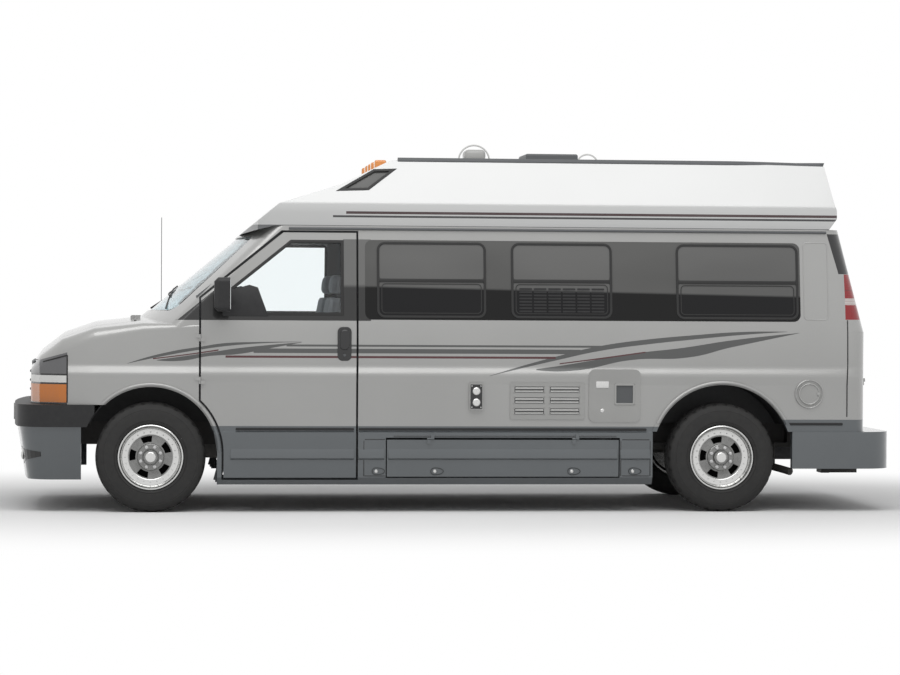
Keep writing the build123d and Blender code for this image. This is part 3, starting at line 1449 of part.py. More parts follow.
with BuildPart() as utility_fittings:
    for front, rear, bottom, top, height, corner in FITTINGS:
        outline = ((front, bottom), (rear, bottom), (rear, top), (front, top))
        add(common(proud_skin(height), side_prism(outline, LEFT_SIDE, corner)))
    add(common(proud_skin(6), cross_cylinder(FILLER_X, FILLER_Z, FILLER_RADIUS, LEFT_SIDE)))
    recesses = [
        block((x, x + LOUVRE_SIZE[0]), LEFT_SIDE, (z, z + LOUVRE_SIZE[1]))
        for x, z in LOUVRES
    ]
    recesses.append(block(HATCH_RECESS[0], LEFT_SIDE, HATCH_RECESS[1]))
    recesses.append(
        less(
            cross_cylinder(FILLER_X, FILLER_Z, FILLER_GROOVE[1], LEFT_SIDE),
            cross_cylinder(FILLER_X, FILLER_Z, FILLER_GROOVE[0], LEFT_SIDE),
        )
    )
    for recess in recesses:
        add(less(recess, lower_body(-2)), mode=Mode.SUBTRACT)
    for z in SOCKET_HEIGHTS:
        socket = cross_cylinder(SOCKET_X, z, SOCKET_RADIUS, LEFT_SIDE)
        add(less(socket, lower_body(-12)), mode=Mode.SUBTRACT)

# Roof fittings
ROOF_VENT_X = (BAND_FRONT_X + 1200, BAND_FRONT_X + 1575)
ROOF_REACH_Z = (ROOF_TOP_Z - 164, ROOF_TOP_Z + 336)
roof_zone = less(block((0, REAR_END_X), (-600, 600), ROOF_REACH_Z), roof_blank(0))
with BuildPart() as roof_vents:
    add(block(ROOF_VENT_X, (-200, 200), (ROOF_REACH_Z[0], ROOF_TOP_Z + 40)))
    fillet(roof_vents.faces().sort_by(Axis.Z)[-1].edges(), 15)
    add(
        side_prism(
            (
                (REAR_AXLE_X + 145, ROOF_REACH_Z[0]),
                (REAR_AXLE_X + 145, ROOF_TOP_Z - 28),
                (ROOF_REAR_X - 8, ROOF_TOP_Z - 22),
                (ROOF_REAR_X - 60, ROOF_REACH_Z[0]),
            ),
            (-560, 560),
        )
    )
    add(roof_zone, mode=Mode.INTERSECT)

# Roof hoops: middle station, half span, height over the roof
HOOPS = ((BAND_FRONT_X + 850, 99, 105), (BAND_FRONT_X + 1674, 72, 48))
HOOP_RADIUS = 6
with BuildPart() as roof_hoops:
    for middle, half_span, rise in HOOPS:
        foot = ROOF_TOP_Z - 60
        with BuildLine() as path:
            ThreePointArc(
                (middle - half_span, 0, foot),
                (middle, 0, ROOF_TOP_Z + rise),
                (middle + half_span, 0, foot),
            )
        with BuildSketch(Plane(origin=path.line @ 0, z_dir=path.line % 0)):
            RegularPolygon(HOOP_RADIUS, 6)
        sweep(path=path.line)
    add(roof_zone, mode=Mode.INTERSECT)

NODES = {
    "floor_pan": floor_pan,
    "bulkhead": bulkhead,
    "wheel_housings": wheel_housings,
    "chassis_frame": chassis_frame,
    "cross_members": cross_members,
    "hitch_receiver": hitch_receiver,
    "side_wall_left": side_wall_left,
    "side_wall_right": side_wall_right,
    "front_fenders": front_fenders,
    "windscreen_frame": windscreen_frame,
    "rear_frame": rear_frame,
    "high_roof": high_roof,
    "front_bumper": front_bumper,
    "front_air_dam": front_air_dam,
    "rear_bumper": rear_bumper,
    "side_skirts": side_skirts,
    "windscreen": windscreen,
    "side_glass": side_glass,
    "grille": grille,
    "headlamps": headlamps,
    "tail_lamps": tail_lamps,
    "utility_fittings": utility_fittings,
    "roof_vents": roof_vents,
    "roof_hoops": roof_hoops,
    "powertrain": powertrain,
    "fuel_tank": fuel_tank,
    "front_suspension": front_suspension,
    "rear_axle": rear_axle,
    "dashboard": dashboard,
    "front_seats": front_seats,
    "galley": galley,
    "rear_bench": rear_bench,
    "door_front_left": door_front_left,
    "door_glass_left": door_glass_left,
    "mirror_left": mirror_left,
    "door_front_right": door_front_right,
    "door_glass_right": door_glass_right,
    "mirror_right": mirror_right,
    "side_door_front": side_door_front,
    "side_door_glass_front": side_door_glass_front,
    "side_door_rear": side_door_rear,
    "side_door_glass_rear": side_door_glass_rear,
    "rear_door_left": rear_door_left,
    "rear_glass_left": rear_glass_left,
    "rear_door_right": rear_door_right,
    "rear_glass_right": rear_glass_right,
    "hood": hood,
    "storage_lid": storage_lid,
    "knuckle_left": knuckle_left,
    "knuckle_right": knuckle_right,
    **wheels,
}

os.makedirs("parts", exist_ok=True)
for name, piece in NODES.items():
    piece.part.label = name
    export_step(piece.part, f"parts/{name}.step")
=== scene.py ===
"""Looks of the camper van: paint, glass, wheels, fittings, seats and stage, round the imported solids."""

import json
from math import atan2, cos, degrees, hypot, pi, radians, sin

import bpy
from mathutils import Matrix, Vector


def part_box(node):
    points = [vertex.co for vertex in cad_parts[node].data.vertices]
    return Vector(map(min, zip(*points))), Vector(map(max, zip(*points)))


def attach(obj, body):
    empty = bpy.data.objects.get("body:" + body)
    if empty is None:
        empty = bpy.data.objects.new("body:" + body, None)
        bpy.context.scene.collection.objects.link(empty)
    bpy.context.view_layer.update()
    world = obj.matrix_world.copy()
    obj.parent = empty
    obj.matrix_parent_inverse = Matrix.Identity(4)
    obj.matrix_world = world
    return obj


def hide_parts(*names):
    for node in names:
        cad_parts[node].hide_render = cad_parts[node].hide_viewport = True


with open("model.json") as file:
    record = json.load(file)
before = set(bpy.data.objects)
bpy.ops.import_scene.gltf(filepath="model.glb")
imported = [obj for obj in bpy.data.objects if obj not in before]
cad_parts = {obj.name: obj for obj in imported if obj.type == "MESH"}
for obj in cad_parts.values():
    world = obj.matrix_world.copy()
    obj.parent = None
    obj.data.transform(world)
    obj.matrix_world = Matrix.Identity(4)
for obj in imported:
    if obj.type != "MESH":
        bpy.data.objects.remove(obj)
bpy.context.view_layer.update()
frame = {"nodes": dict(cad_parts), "record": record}

bl_info = {
    "name": "Camper van looks",
    "version": (1, 0, 0),
    "blender": (4, 5, 0),
    "location": "3D View > Sidebar > Camper van",
    "description": "Dresses the solids of a camper van with paint, glass, wheels, fittings and seats",
    "category": "Object",
}

# Half width of the body side at each height
SIDE_SECTION = (
    (0.190, 0.965), (0.240, 1.000), (0.548, 1.004), (0.556, 0.990),
    (0.880, 0.990), (1.010, 1.006), (1.250, 0.997), (1.960, 0.905),
)
LEFT = -1
RIGHT = 1
SIDES = ((LEFT, "left"), (RIGHT, "right"))
WHEELS = ("front_left", "front_right", "rear_left", "rear_right")
# Distance from the middle at which lines that feel for the van start, lengthwise and sideways
FAR_X = 4.0
FAR_Y = 1.6


class VanPaint(bpy.types.PropertyGroup):
    """Colours of the body and its stripes."""

    silver: bpy.props.FloatVectorProperty(
        name="Silver", description="Body colour", subtype="COLOR", default=(0.375, 0.375, 0.367)
    )
    cladding: bpy.props.FloatVectorProperty(
        name="Cladding", description="Lower body colour", subtype="COLOR", default=(0.11, 0.122, 0.13)
    )
    stripe: bpy.props.FloatVectorProperty(
        name="Stripe", description="Grey of the broad stripes", subtype="COLOR", default=(0.080, 0.082, 0.081)
    )
    red: bpy.props.FloatVectorProperty(
        name="Red line", description="Dark red of the thin lines", subtype="COLOR",
        default=(0.075, 0.014, 0.017),
    )
    roof: bpy.props.FloatVectorProperty(
        name="Roof", description="Gelcoat white of the roof", subtype="COLOR", default=(0.73, 0.735, 0.73)
    )


class VanSizes(bpy.types.PropertyGroup):
    """Sizes of the fittings."""

    seal: bpy.props.FloatProperty(
        name="Seal", description="Width of the window seals", unit="LENGTH", default=0.016
    )
    nuts: bpy.props.IntProperty(name="Lug nuts", description="Nuts on each wheel", default=8)
    bolts: bpy.props.IntProperty(name="Rim bolts", description="Small bolts round each rim", default=24)
    openings: bpy.props.IntProperty(name="Openings", description="Openings in each wheel", default=5)
    louvres: bpy.props.IntProperty(
        name="Louvres", description="Rows of louvres in the fridge vent", default=3
    )


class VanStage(bpy.types.PropertyGroup):
    """Camera and light."""

    camera: bpy.props.FloatVectorProperty(
        name="Camera", description="Place of the camera", subtype="XYZ", default=(-2.105, -21.0, 1.45)
    )
    turn: bpy.props.FloatVectorProperty(
        name="Turn",
        description="Turn of the camera",
        subtype="EULER",
        default=(radians(89.285), radians(-0.34), radians(-5.84)),
    )
    lens: bpy.props.FloatProperty(name="Lens", description="Focal length in millimetres", default=117.4)
    sky: bpy.props.FloatProperty(name="Sky", description="Strength of the even light", default=0.44)
    lamp: bpy.props.FloatProperty(name="Lamp", description="Power of the overhead lamp", default=500.0)


# Shaping


def deselect():
    """Leaves nothing selected."""
    bpy.ops.object.select_all(action="DESELECT")


def pick(piece):
    """Selects one piece and makes it active."""
    deselect()
    piece.select_set(True)
    bpy.context.view_layer.objects.active = piece


def edit(piece, mode="FACE"):
    """Opens a piece in edit mode with everything selected."""
    pick(piece)
    bpy.ops.object.mode_set(mode="EDIT")
    bpy.ops.mesh.select_mode(type=mode)
    bpy.ops.mesh.select_all(action="SELECT")


def close_up(merge=0.0):
    """Merges what lies together, turns the faces outwards and leaves edit mode."""
    bpy.ops.mesh.select_all(action="SELECT")
    if merge:
        bpy.ops.mesh.remove_doubles(threshold=merge)
    bpy.ops.mesh.normals_make_consistent(inside=False)
    bpy.ops.object.mode_set(mode="OBJECT")


def choose_faces(piece, test):
    """Selects the faces whose middle passes a test, in edit mode."""
    bpy.ops.mesh.select_all(action="DESELECT")
    bpy.ops.object.mode_set(mode="OBJECT")
    for polygon in piece.data.polygons:
        polygon.select = test(polygon.center)
    bpy.ops.object.mode_set(mode="EDIT")


def spaced(start, end, count):
    """Evenly spaced values from start to end."""
    return [start + (end - start) * step / (count - 1) for step in range(count)]


def box(low, high, bevel=0.0, segments=2):
    """Block between two corners with rounded edges."""
    low = Vector(low)
    high = Vector(high)
    deselect()
    bpy.ops.mesh.primitive_cube_add(size=1, location=(low + high) / 2)
    block = bpy.context.object
    block.scale = high - low
    bpy.ops.object.transform_apply(location=True, rotation=True, scale=True)
    if bevel:
        edit(block, "EDGE")
        bpy.ops.mesh.bevel(offset=bevel, segments=segments, affect="EDGES")
        close_up()
    return block


def flat(points):
    """Flat face with the given outline."""
    deselect()
    bpy.ops.mesh.primitive_circle_add(vertices=len(points), fill_type="NGON")
    face = bpy.context.object
    for vertex, point in zip(face.data.vertices, points):
        vertex.co = point
    return face


def plate(points, depth):
    """Outline drawn out to a plate."""
    piece = flat(points)
    edit(piece)
    bpy.ops.mesh.extrude_region_move(TRANSFORM_OT_translate={"value": depth})
    close_up()
    return piece


def ring(points, width, depth):
    """Outline drawn out to a frame of an even width."""
    piece = flat(points)
    edit(piece)
    bpy.ops.mesh.inset(thickness=width)
    bpy.ops.mesh.delete(type="FACE")
    bpy.ops.mesh.select_all(action="SELECT")
    bpy.ops.mesh.extrude_region_move(TRANSFORM_OT_translate={"value": depth})
    close_up()
    return piece


def rounded(x, z, radius, steps=6):
    """Rounded rectangle in side view."""
    corners = (
        (x[1] - radius, z[0] + radius, -90),
        (x[1] - radius, z[1] - radius, 0),
        (x[0] + radius, z[1] - radius, 90),
        (x[0] + radius, z[0] + radius, 180),
    )
    points = []
    for middle_x, middle_z, start in corners:
        for step in range(steps + 1):
            angle = radians(start + 90 * step / steps)
            points.append((middle_x + radius * cos(angle), middle_z + radius * sin(angle)))
    return points


def lathe(profile, centre=(0, 0, 0), axis="Y", steps=48):
    """Closed profile of (radius, distance) turned about an axis through the centre."""
    centre = Vector(centre)
    deselect()
    bpy.ops.mesh.primitive_circle_add(vertices=len(profile), fill_type="NOTHING")
    piece = bpy.context.object
    for vertex, (radius, along) in zip(piece.data.vertices, profile):
        offsets = {"X": (along, radius, 0), "Y": (radius, along, 0), "Z": (radius, 0, along)}
        vertex.co = centre + Vector(offsets[axis])
    direction = {"X": (1, 0, 0), "Y": (0, 1, 0), "Z": (0, 0, 1)}[axis]
    edit(piece, "VERT")
    bpy.ops.mesh.spin(steps=steps, angle=2 * pi, center=centre, axis=direction)
    close_up(merge=0.00002)
    return piece


def tube(points, radius, smooth=False, sides=3):
    """Round bar along a line of points."""
    curve = bpy.data.curves.new("bar", "CURVE")
    curve.dimensions = "3D"
    curve.bevel_depth = radius
    curve.bevel_resolution = sides
    curve.use_fill_caps = True
    line = curve.splines.new("NURBS" if smooth else "POLY")
    line.points.add(len(points) - 1)
    for point, place in zip(line.points, points):
        point.co = (*place, 1)
    if smooth:
        line.order_u = 3
        line.use_endpoint_u = True
    bar = bpy.data.objects.new("bar", curve)
    bpy.context.collection.objects.link(bar)
    pick(bar)
    bpy.ops.object.convert(target="MESH")
    return bpy.context.object


def joined(pieces):
    """Several meshes made one piece."""
    pick(pieces[0])
    if len(pieces) > 1:
        for piece in pieces[1:]:
            piece.select_set(True)
        bpy.ops.object.join()
    return bpy.context.object


def copied(piece, move):
    """Copy of a piece with its own mesh, moved."""
    other = piece.copy()
    other.data = piece.data.copy()
    bpy.context.collection.objects.link(other)
    other.data.transform(move)
    return other


def rounded_edges(piece, width, segments=2):
    """Bevels the sharp edges of a piece."""
    pick(piece)
    bevel = piece.modifiers.new("Edges", "BEVEL")
    bevel.width = width
    bevel.segments = segments
    bevel.limit_method = "ANGLE"
    bevel.angle_limit = radians(30)
    bpy.ops.object.modifier_apply(modifier=bevel.name)
    return piece


def settle(pieces, name, finish, body="van", edges=0.0, stands_for=(), angle=35):
    """Joins and names a finished piece, gives it its finish and makes it ride on its body."""
    piece = joined(pieces) if isinstance(pieces, list) else pieces
    if edges:
        rounded_edges(piece, edges)
    pick(piece)
    bpy.ops.object.shade_smooth_by_angle(angle=radians(angle))
    piece.name = name
    piece.data.name = name
    if finish:
        piece.data.materials.clear()
        piece.data.materials.append(bpy.data.materials[finish])
    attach(piece, body)
    if stands_for:
        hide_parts(*stands_for)
    return piece


def flank(z):
    """Half width of the body side at a height."""
    for (low, wide), (high, narrow) in zip(SIDE_SECTION, SIDE_SECTION[1:]):
        if z <= high:
            return wide + (narrow - wide) * (z - low) / (high - low)
    return SIDE_SECTION[-1][1]


def touch(start, direction):
    """Point where a line first meets the van."""
    layer = bpy.context.view_layer
    layer.update()
    hit, place, *_ = bpy.context.scene.ray_cast(layer.depsgraph, Vector(start), Vector(direction))
    if not hit:
        raise RuntimeError(f"nothing to sit on at {start}")
    return place


def skin(x, z, side=LEFT):
    """Sideways place of the body's outside at a station and height."""
    return touch((x, side * FAR_Y, z), (0, -side, 0)).y


def front_skin(y, z):
    """Point on the van's front."""
    return touch((-FAR_X, y, z), (1, 0, 0))


def rear_skin(y, z):
    """Point on the van's back."""
    return touch((FAR_X, y, z), (-1, 0, 0))


def side_plate(outline, side, lift, depth):
    """Plate on the flank: from lift under the skin to depth over it."""
    return plate([(x, side * (flank(z) - lift), z) for x, z in outline], (0, side * (lift + depth), 0))


def side_ring(outline, width, side, lift, depth):
    """Frame on the flank: from lift under the skin to depth over it."""
    return ring([(x, side * (flank(z) - lift), z) for x, z in outline], width, (0, side * (lift + depth), 0))


def wall_plate(outline, y, depth):
    """Upright plate that starts at y."""
    return plate([(x, y, z) for x, z in outline], (0, depth, 0))


def wall_ring(outline, y, width, depth):
    """Upright frame that starts at y."""
    return ring([(x, y, z) for x, z in outline], width, (0, depth, 0))


# Finishes


class Finish:
    """Builds one finish from shader nodes on Object coordinates."""

    def __init__(self, name, colour, **sockets):
        self.material = bpy.data.materials.new(name)
        self.material.use_nodes = True
        self.tree = self.material.node_tree
        self.surface = self.tree.nodes["Principled BSDF"]
        self.surface.inputs["Base Color"].default_value = (*colour[:3], 1)
        for socket, value in sockets.items():
            self.surface.inputs[socket.replace("_", " ")].default_value = value
        self.place = self.add("ShaderNodeTexCoord").outputs["Object"]
        self.apart = None

    def add(self, kind, **settings):
        """New node with its settings."""
        node = self.tree.nodes.new(kind)
        for setting, value in settings.items():
            setattr(node, setting, value)
        return node

    def feed(self, value, socket):
        """Links an output or sets a constant."""
        if isinstance(value, bpy.types.NodeSocket):
            self.tree.links.new(value, socket)
        elif socket.type == "RGBA" and len(value) == 3:
            socket.default_value = (*value, 1)
        else:
            socket.default_value = value

    def axis(self, letter):
        """One Object coordinate."""
        if self.apart is None:
            self.apart = self.add("ShaderNodeSeparateXYZ")
            self.feed(self.place, self.apart.inputs[0])
        return self.apart.outputs[letter]

    def math(self, operation, a, b=0.0):
        """Arithmetic on two values."""
        node = self.add("ShaderNodeMath", operation=operation)
        self.feed(a, node.inputs[0])
        self.feed(b, node.inputs[1])
        return node.outputs[0]

    def both(self, first, *others):
        """Product of values: 1 where every mask is 1."""
        for other in others:
            first = self.math("MULTIPLY", first, other)
        return first

    def either(self, first, *others):
        """Largest of values: 1 where any mask is 1."""
        for other in others:
            first = self.math("MAXIMUM", first, other)
        return first

    def over(self, value, limit):
        """1 where a value passes a limit."""
        return self.math("GREATER_THAN", value, limit)

    def under(self, value, limit):
        """1 where a value stays below a limit."""
        return self.math("LESS_THAN", value, limit)

    def between(self, value, low, high):
        """1 where a value lies between two others."""
        return self.both(self.over(value, low), self.under(value, high))

    def patch(self, x, z):
        """1 inside a rectangle in side view."""
        return self.both(self.between(self.axis("X"), *x), self.between(self.axis("Z"), *z))

    def aside(self, reach):
        """1 further than a distance from the van's middle plane."""
        return self.over(self.math("ABSOLUTE", self.axis("Y")), reach)

    def scaled(self, value, start, end, low, high, soft=False):
        """Value from start to end brought to low to high."""
        node = self.add("ShaderNodeMapRange", interpolation_type="SMOOTHSTEP" if soft else "LINEAR")
        for socket, number in zip(node.inputs, (value, start, end, low, high)):
            self.feed(number, socket)
        return node.outputs[0]

    def noise(self, scale, detail=3.0, stretch=None):
        """Cloudy pattern."""
        node = self.add("ShaderNodeTexNoise")
        node.inputs["Scale"].default_value = scale
        node.inputs["Detail"].default_value = detail
        place = self.place
        if stretch:
            mapping = self.add("ShaderNodeMapping")
            mapping.inputs["Scale"].default_value = stretch
            self.feed(place, mapping.inputs["Vector"])
            place = mapping.outputs[0]
        self.feed(place, node.inputs["Vector"])
        return node.outputs[0]

    def uneven(self, low, high, *pattern):
        """Value that wanders between two others with a cloudy pattern."""
        return self.scaled(self.noise(*pattern), 0.3, 0.7, low, high)

    def wave(self, scale, direction="X"):
        """Even ridges along one axis."""
        node = self.add("ShaderNodeTexWave", bands_direction=direction)
        node.inputs["Scale"].default_value = scale
        self.feed(self.place, node.inputs["Vector"])
        return node.outputs["Fac"]

    def mixed(self, factor, a, b):
        """One colour turning into another."""
        node = self.add("ShaderNodeMix", data_type="RGBA")
        self.feed(factor, node.inputs["Factor"])
        self.feed(a, node.inputs["A"])
        self.feed(b, node.inputs["B"])
        return node.outputs["Result"]

    def edge(self, points):
        """Height of a drawn edge along the van."""
        start, end = points[0][0], points[-1][0]
        low = min(z for x, z in points) - 0.01
        high = max(z for x, z in points) + 0.01
        node = self.add("ShaderNodeFloatCurve")
        line = node.mapping.curves[0]
        while len(line.points) < len(points):
            line.points.new(0.5, 0.5)
        for point, (x, z) in zip(line.points, points):
            point.location = ((x - start) / (end - start), (z - low) / (high - low))
        node.mapping.update()
        self.feed(self.scaled(self.axis("X"), start, end, 0.0, 1.0), node.inputs["Value"])
        return self.scaled(node.outputs[0], 0.0, 1.0, low, high)

    def blade(self, blade):
        """1 inside a stripe of (station, bottom, top) rows."""
        top = self.edge([(x, high) for x, low, high in blade])
        bottom = self.edge([(x, low) for x, low, high in blade])
        inside = self.both(self.under(self.axis("Z"), top), self.over(self.axis("Z"), bottom))
        return self.both(inside, self.between(self.axis("X"), blade[0][0], blade[-1][0]))

    def colour_from(self, value):
        """Drives the colour."""
        self.feed(value, self.surface.inputs["Base Color"])

    def rough_from(self, value):
        """Drives the roughness."""
        self.feed(value, self.surface.inputs["Roughness"])

    def bump(self, height, strength, distance):
        """Drives the relief."""
        node = self.add("ShaderNodeBump")
        node.inputs["Strength"].default_value = strength
        node.inputs["Distance"].default_value = distance
        self.feed(height, node.inputs["Height"])
        self.feed(node.outputs[0], self.surface.inputs["Normal"])


# Straight stripes: stations, heights
GREY_STRIPES = (((-1.177, 1.019), (1.133, 1.147)), ((-1.401, 0.845), (1.088, 1.119)))
RED_STRIPES = (((-1.591, 0.672), (1.055, 1.070)),)
# Pointed stripes: station, bottom, top
GREY_BLADES = (
    (
        (-2.254, 1.012, 1.014), (-1.930, 1.080, 1.102), (-1.767, 1.108, 1.128),
        (-1.584, 1.134, 1.155), (-1.401, 1.150, 1.162), (-1.074, 1.164, 1.166),
    ),
    (
        (-2.055, 1.034, 1.038), (-1.930, 1.030, 1.056), (-1.686, 1.067, 1.092),
        (-1.520, 1.078, 1.118), (-1.300, 1.118, 1.142), (-1.074, 1.160, 1.162),
    ),
    (
        (0.215, 0.935, 0.937), (0.672, 1.044, 1.070), (1.019, 1.118, 1.152), (1.312, 1.158, 1.192),
        (1.606, 1.190, 1.220), (1.977, 1.226, 1.247), (2.294, 1.248, 1.250),
    ),
    (
        (0.540, 0.977, 0.985), (0.727, 0.970, 1.012), (1.256, 1.055, 1.100),
        (1.536, 1.062, 1.132), (1.900, 1.140, 1.188), (2.378, 1.240, 1.242),
    ),
)
RED_BLADES = (
    ((-2.082, 1.042, 1.050), (-1.860, 1.070, 1.078), (-1.639, 1.102, 1.112)),
    ((0.700, 1.018, 1.026), (1.000, 1.057, 1.066), (1.298, 1.100, 1.108)),
)
# Stripes and black fields lie further from the middle plane than these
STRIPE_Y = 0.93
BLACK_Y = 0.86
# Top of the cladding: two stations and the heights there
CLADDING_EDGE = (1.5, 2.2, 0.590, 0.640)
# Dark rear corner: two heights and its front edge there, bottom and top, distance from the middle plane
CORNER_EDGE = (1.65, 1.95, 2.665, 2.580)
CORNER_Z = (1.652, 1.93)
CORNER_Y = 0.80
# Black fields round the door window, all above BLACK_Z
BLACK_Z = 1.310
SAIL_X = (-1.93, -1.606)
SAIL_SLOPE = (-1.916, -1.607, 1.312, 1.565)
BELT_X = (-1.62, -0.70)
BELT_TOP = 1.40
PILLAR_X = (-0.79, -0.60)
PILLAR_TOP = 1.868
# Heights over which the pillar turns from black to grey: a painted reflection of the horizon
PILLAR_REFLECTION_Z = (1.535, 1.560)
# Fold of the shoulder: its heights and its relief
SHOULDER_Z = (0.932, 1.012)
SHOULDER_RELIEF = 0.032


def flake(finish, colour, lift):
    """Metal flake and slow unevenness in a coat of paint."""
    cloud = finish.uneven(1 - lift, 1 + lift, 1.3)
    grain = finish.uneven(0.94, 1.06, 900.0, 1.0)
    shade = finish.add("ShaderNodeVectorMath", operation="SCALE")
    finish.feed(colour, shade.inputs[0])
    finish.feed(finish.both(cloud, grain), shade.inputs["Scale"])
    return shade.outputs[0]


def body_paint(paint):
    """Silver paint with stripes on the flanks, the cladding colour low down, black by the door window and a
    painted reflection on its pillar.
    """
    finish = Finish(
        "body_paint", paint.silver, Metallic=0.35, Roughness=0.34, Coat_Weight=0.7, Coat_Roughness=0.06
    )
    x, z = finish.axis("X"), finish.axis("Z")
    colour = tuple(paint.silver)
    for stripes, blades, shade in (
        (GREY_STRIPES, GREY_BLADES, paint.stripe), (RED_STRIPES, RED_BLADES, paint.red)
    ):
        masks = [finish.patch(*stripe) for stripe in stripes] + [finish.blade(blade) for blade in blades]
        striped = finish.both(finish.either(*masks), finish.aside(STRIPE_Y))
        colour = finish.mixed(striped, colour, tuple(shade))
    low = finish.under(z, finish.scaled(x, *CLADDING_EDGE))
    colour = finish.mixed(low, colour, tuple(paint.cladding))
    corner = finish.over(x, finish.scaled(z, *CORNER_EDGE))
    corner = finish.both(corner, finish.between(z, *CORNER_Z), finish.aside(CORNER_Y))
    colour = finish.mixed(corner, colour, (0.012, 0.012, 0.013))
    sail = finish.both(finish.between(x, *SAIL_X), finish.under(z, finish.scaled(x, *SAIL_SLOPE)))
    belt = finish.both(finish.between(x, *BELT_X), finish.under(z, BELT_TOP))
    pillar = finish.both(finish.between(x, *PILLAR_X), finish.under(z, PILLAR_TOP))
    black = finish.both(finish.either(sail, belt, pillar), finish.aside(BLACK_Y), finish.over(z, BLACK_Z))
    # The pillar's upper part is painted grey: a painted reflection of the horizon
    painted_reflection = finish.both(finish.scaled(z, *PILLAR_REFLECTION_Z, 0.0, 1.0), pillar)
    dark = finish.mixed(painted_reflection, (0.010, 0.010, 0.010), (0.13, 0.13, 0.127))
    finish.colour_from(flake(finish, finish.mixed(black, colour, dark), 0.03))
    finish.bump(finish.scaled(z, *SHOULDER_Z, 1.0, 0.0, soft=True), 1.0, SHOULDER_RELIEF)
    finish.rough_from(finish.math("ADD", finish.both(finish.noise(9.0), 0.12), 0.26))


# Roof: top of the gutter and of the upright side, and the two lines along it
GUTTER_TOP = 1.964
UPRIGHT_TOP = 2.116
ROOF_LINE = ((-0.77, 2.68), (2.042, 2.060))
ROOF_THIN_LINE = ((-0.86, 2.68), (2.018, 2.032))


def roof_paint(paint):
    """Paint of the cladding, and white gelcoat with its upright side painted darker as painted shade, two
    thin lines and a grey gutter.
    """
    cladding = Finish("cladding_paint", paint.cladding, Metallic=0.3, Coat_Weight=0.8, Coat_Roughness=0.08)
    cladding.colour_from(flake(cladding, tuple(paint.cladding), 0.06))
    cladding.rough_from(cladding.uneven(0.28, 0.42, 14.0))

    roof = Finish("roof_gelcoat", paint.roof, Coat_Weight=0.5, Coat_Roughness=0.08)
    z = roof.axis("Z")
    side = roof.aside(BLACK_Y)
    # The upright side is painted darker than the sloping top: painted shade
    painted_shade_white = tuple(part * 0.80 for part in paint.roof)
    colour = roof.mixed(roof.under(z, UPRIGHT_TOP), tuple(paint.roof), painted_shade_white)
    colour = roof.mixed(roof.both(roof.patch(*ROOF_LINE), side), colour, (0.040, 0.012, 0.014))
    colour = roof.mixed(roof.both(roof.patch(*ROOF_THIN_LINE), side), colour, (0.03, 0.03, 0.032))
    colour = roof.mixed(roof.under(z, GUTTER_TOP), colour, (0.10, 0.105, 0.11))
    roof.colour_from(roof.mixed(roof.uneven(0.0, 0.06, 2.0), colour, (0.55, 0.56, 0.55)))
    roof.rough_from(roof.uneven(0.30, 0.36, 3.0))


# Window glass: shade band at the screen's head, and the distance from the middle plane where doors begin
SHADE_BAND_Z = (1.84, 1.90)
DOOR_GLASS_Y = 0.88
# Dark glass: a painted reflection above the line of the reflected horizon, and the glass's own colour below
# it
DARK_GLASS = (
    ("tinted_glass", (0.125, 0.125, 0.122), (0.006, 0.006, 0.006)),
    ("pane_glass", (0.155, 0.155, 0.152), (0.009, 0.009, 0.010)),
    ("smoked_glass", (0.145, 0.145, 0.142), (0.007, 0.007, 0.008)),
)
# The painted reflection's horizon: two stations and the heights there, and half its blur
REFLECTION_LINE = (-0.6, 2.4, 1.545, 1.492)
REFLECTION_BLUR = 0.008


def glass_finishes():
    """Clear glass, and dark glass with a painted reflection of the horizon."""
    glass = Finish(
        "window_glass", (0.86, 0.93, 0.92), Roughness=0.0, IOR=1.3, Transmission_Weight=1.0, Coat_Weight=0.15
    )
    band = glass.scaled(glass.axis("Z"), *SHADE_BAND_Z, 0.0, 0.9, soft=True)
    clear = glass.mixed(glass.aside(DOOR_GLASS_Y), (0.74, 0.86, 0.90), (0.955, 0.985, 0.99))
    glass.colour_from(glass.mixed(band, clear, (0.10, 0.17, 0.19)))
    for name, upper, lower in DARK_GLASS:
        tint = Finish(name, lower, Roughness=0.05, IOR=1.45, Specular_IOR_Level=0.3)
        # Above the horizon's line the glass is painted grey, broken by clouds: a painted reflection
        rise = tint.math("SUBTRACT", tint.axis("Z"), tint.scaled(tint.axis("X"), *REFLECTION_LINE))
        cloud = tint.scaled(tint.noise(1.1, 2.0, (0.6, 1, 1.6)), 0.35, 0.65, 0.82, 1.0, soft=True)
        painted_reflection = tint.both(tint.scaled(rise, -REFLECTION_BLUR, REFLECTION_BLUR, 0.0, 1.0), cloud)
        tint.colour_from(tint.mixed(painted_reflection, lower, upper))


# Head lamps: bottom, heights of the two dark gaps, and the height above which roof lamps lie
LAMP_BOTTOM = 0.745
LAMP_GAPS = ((0.868, 0.880), (0.928, 0.940))
LAMP_SPLITS = (0.874, 0.934)
ROOF_LAMP_Z = 2.0
# Tail lamps: heights of the pale band and of the dark line
TAIL_BAND = (1.437, 1.484)
TAIL_LINE = (1.537, 1.541)
AMBER = (0.75, 0.27, 0.05)
TAIL_RED = (0.30, 0.010, 0.014)


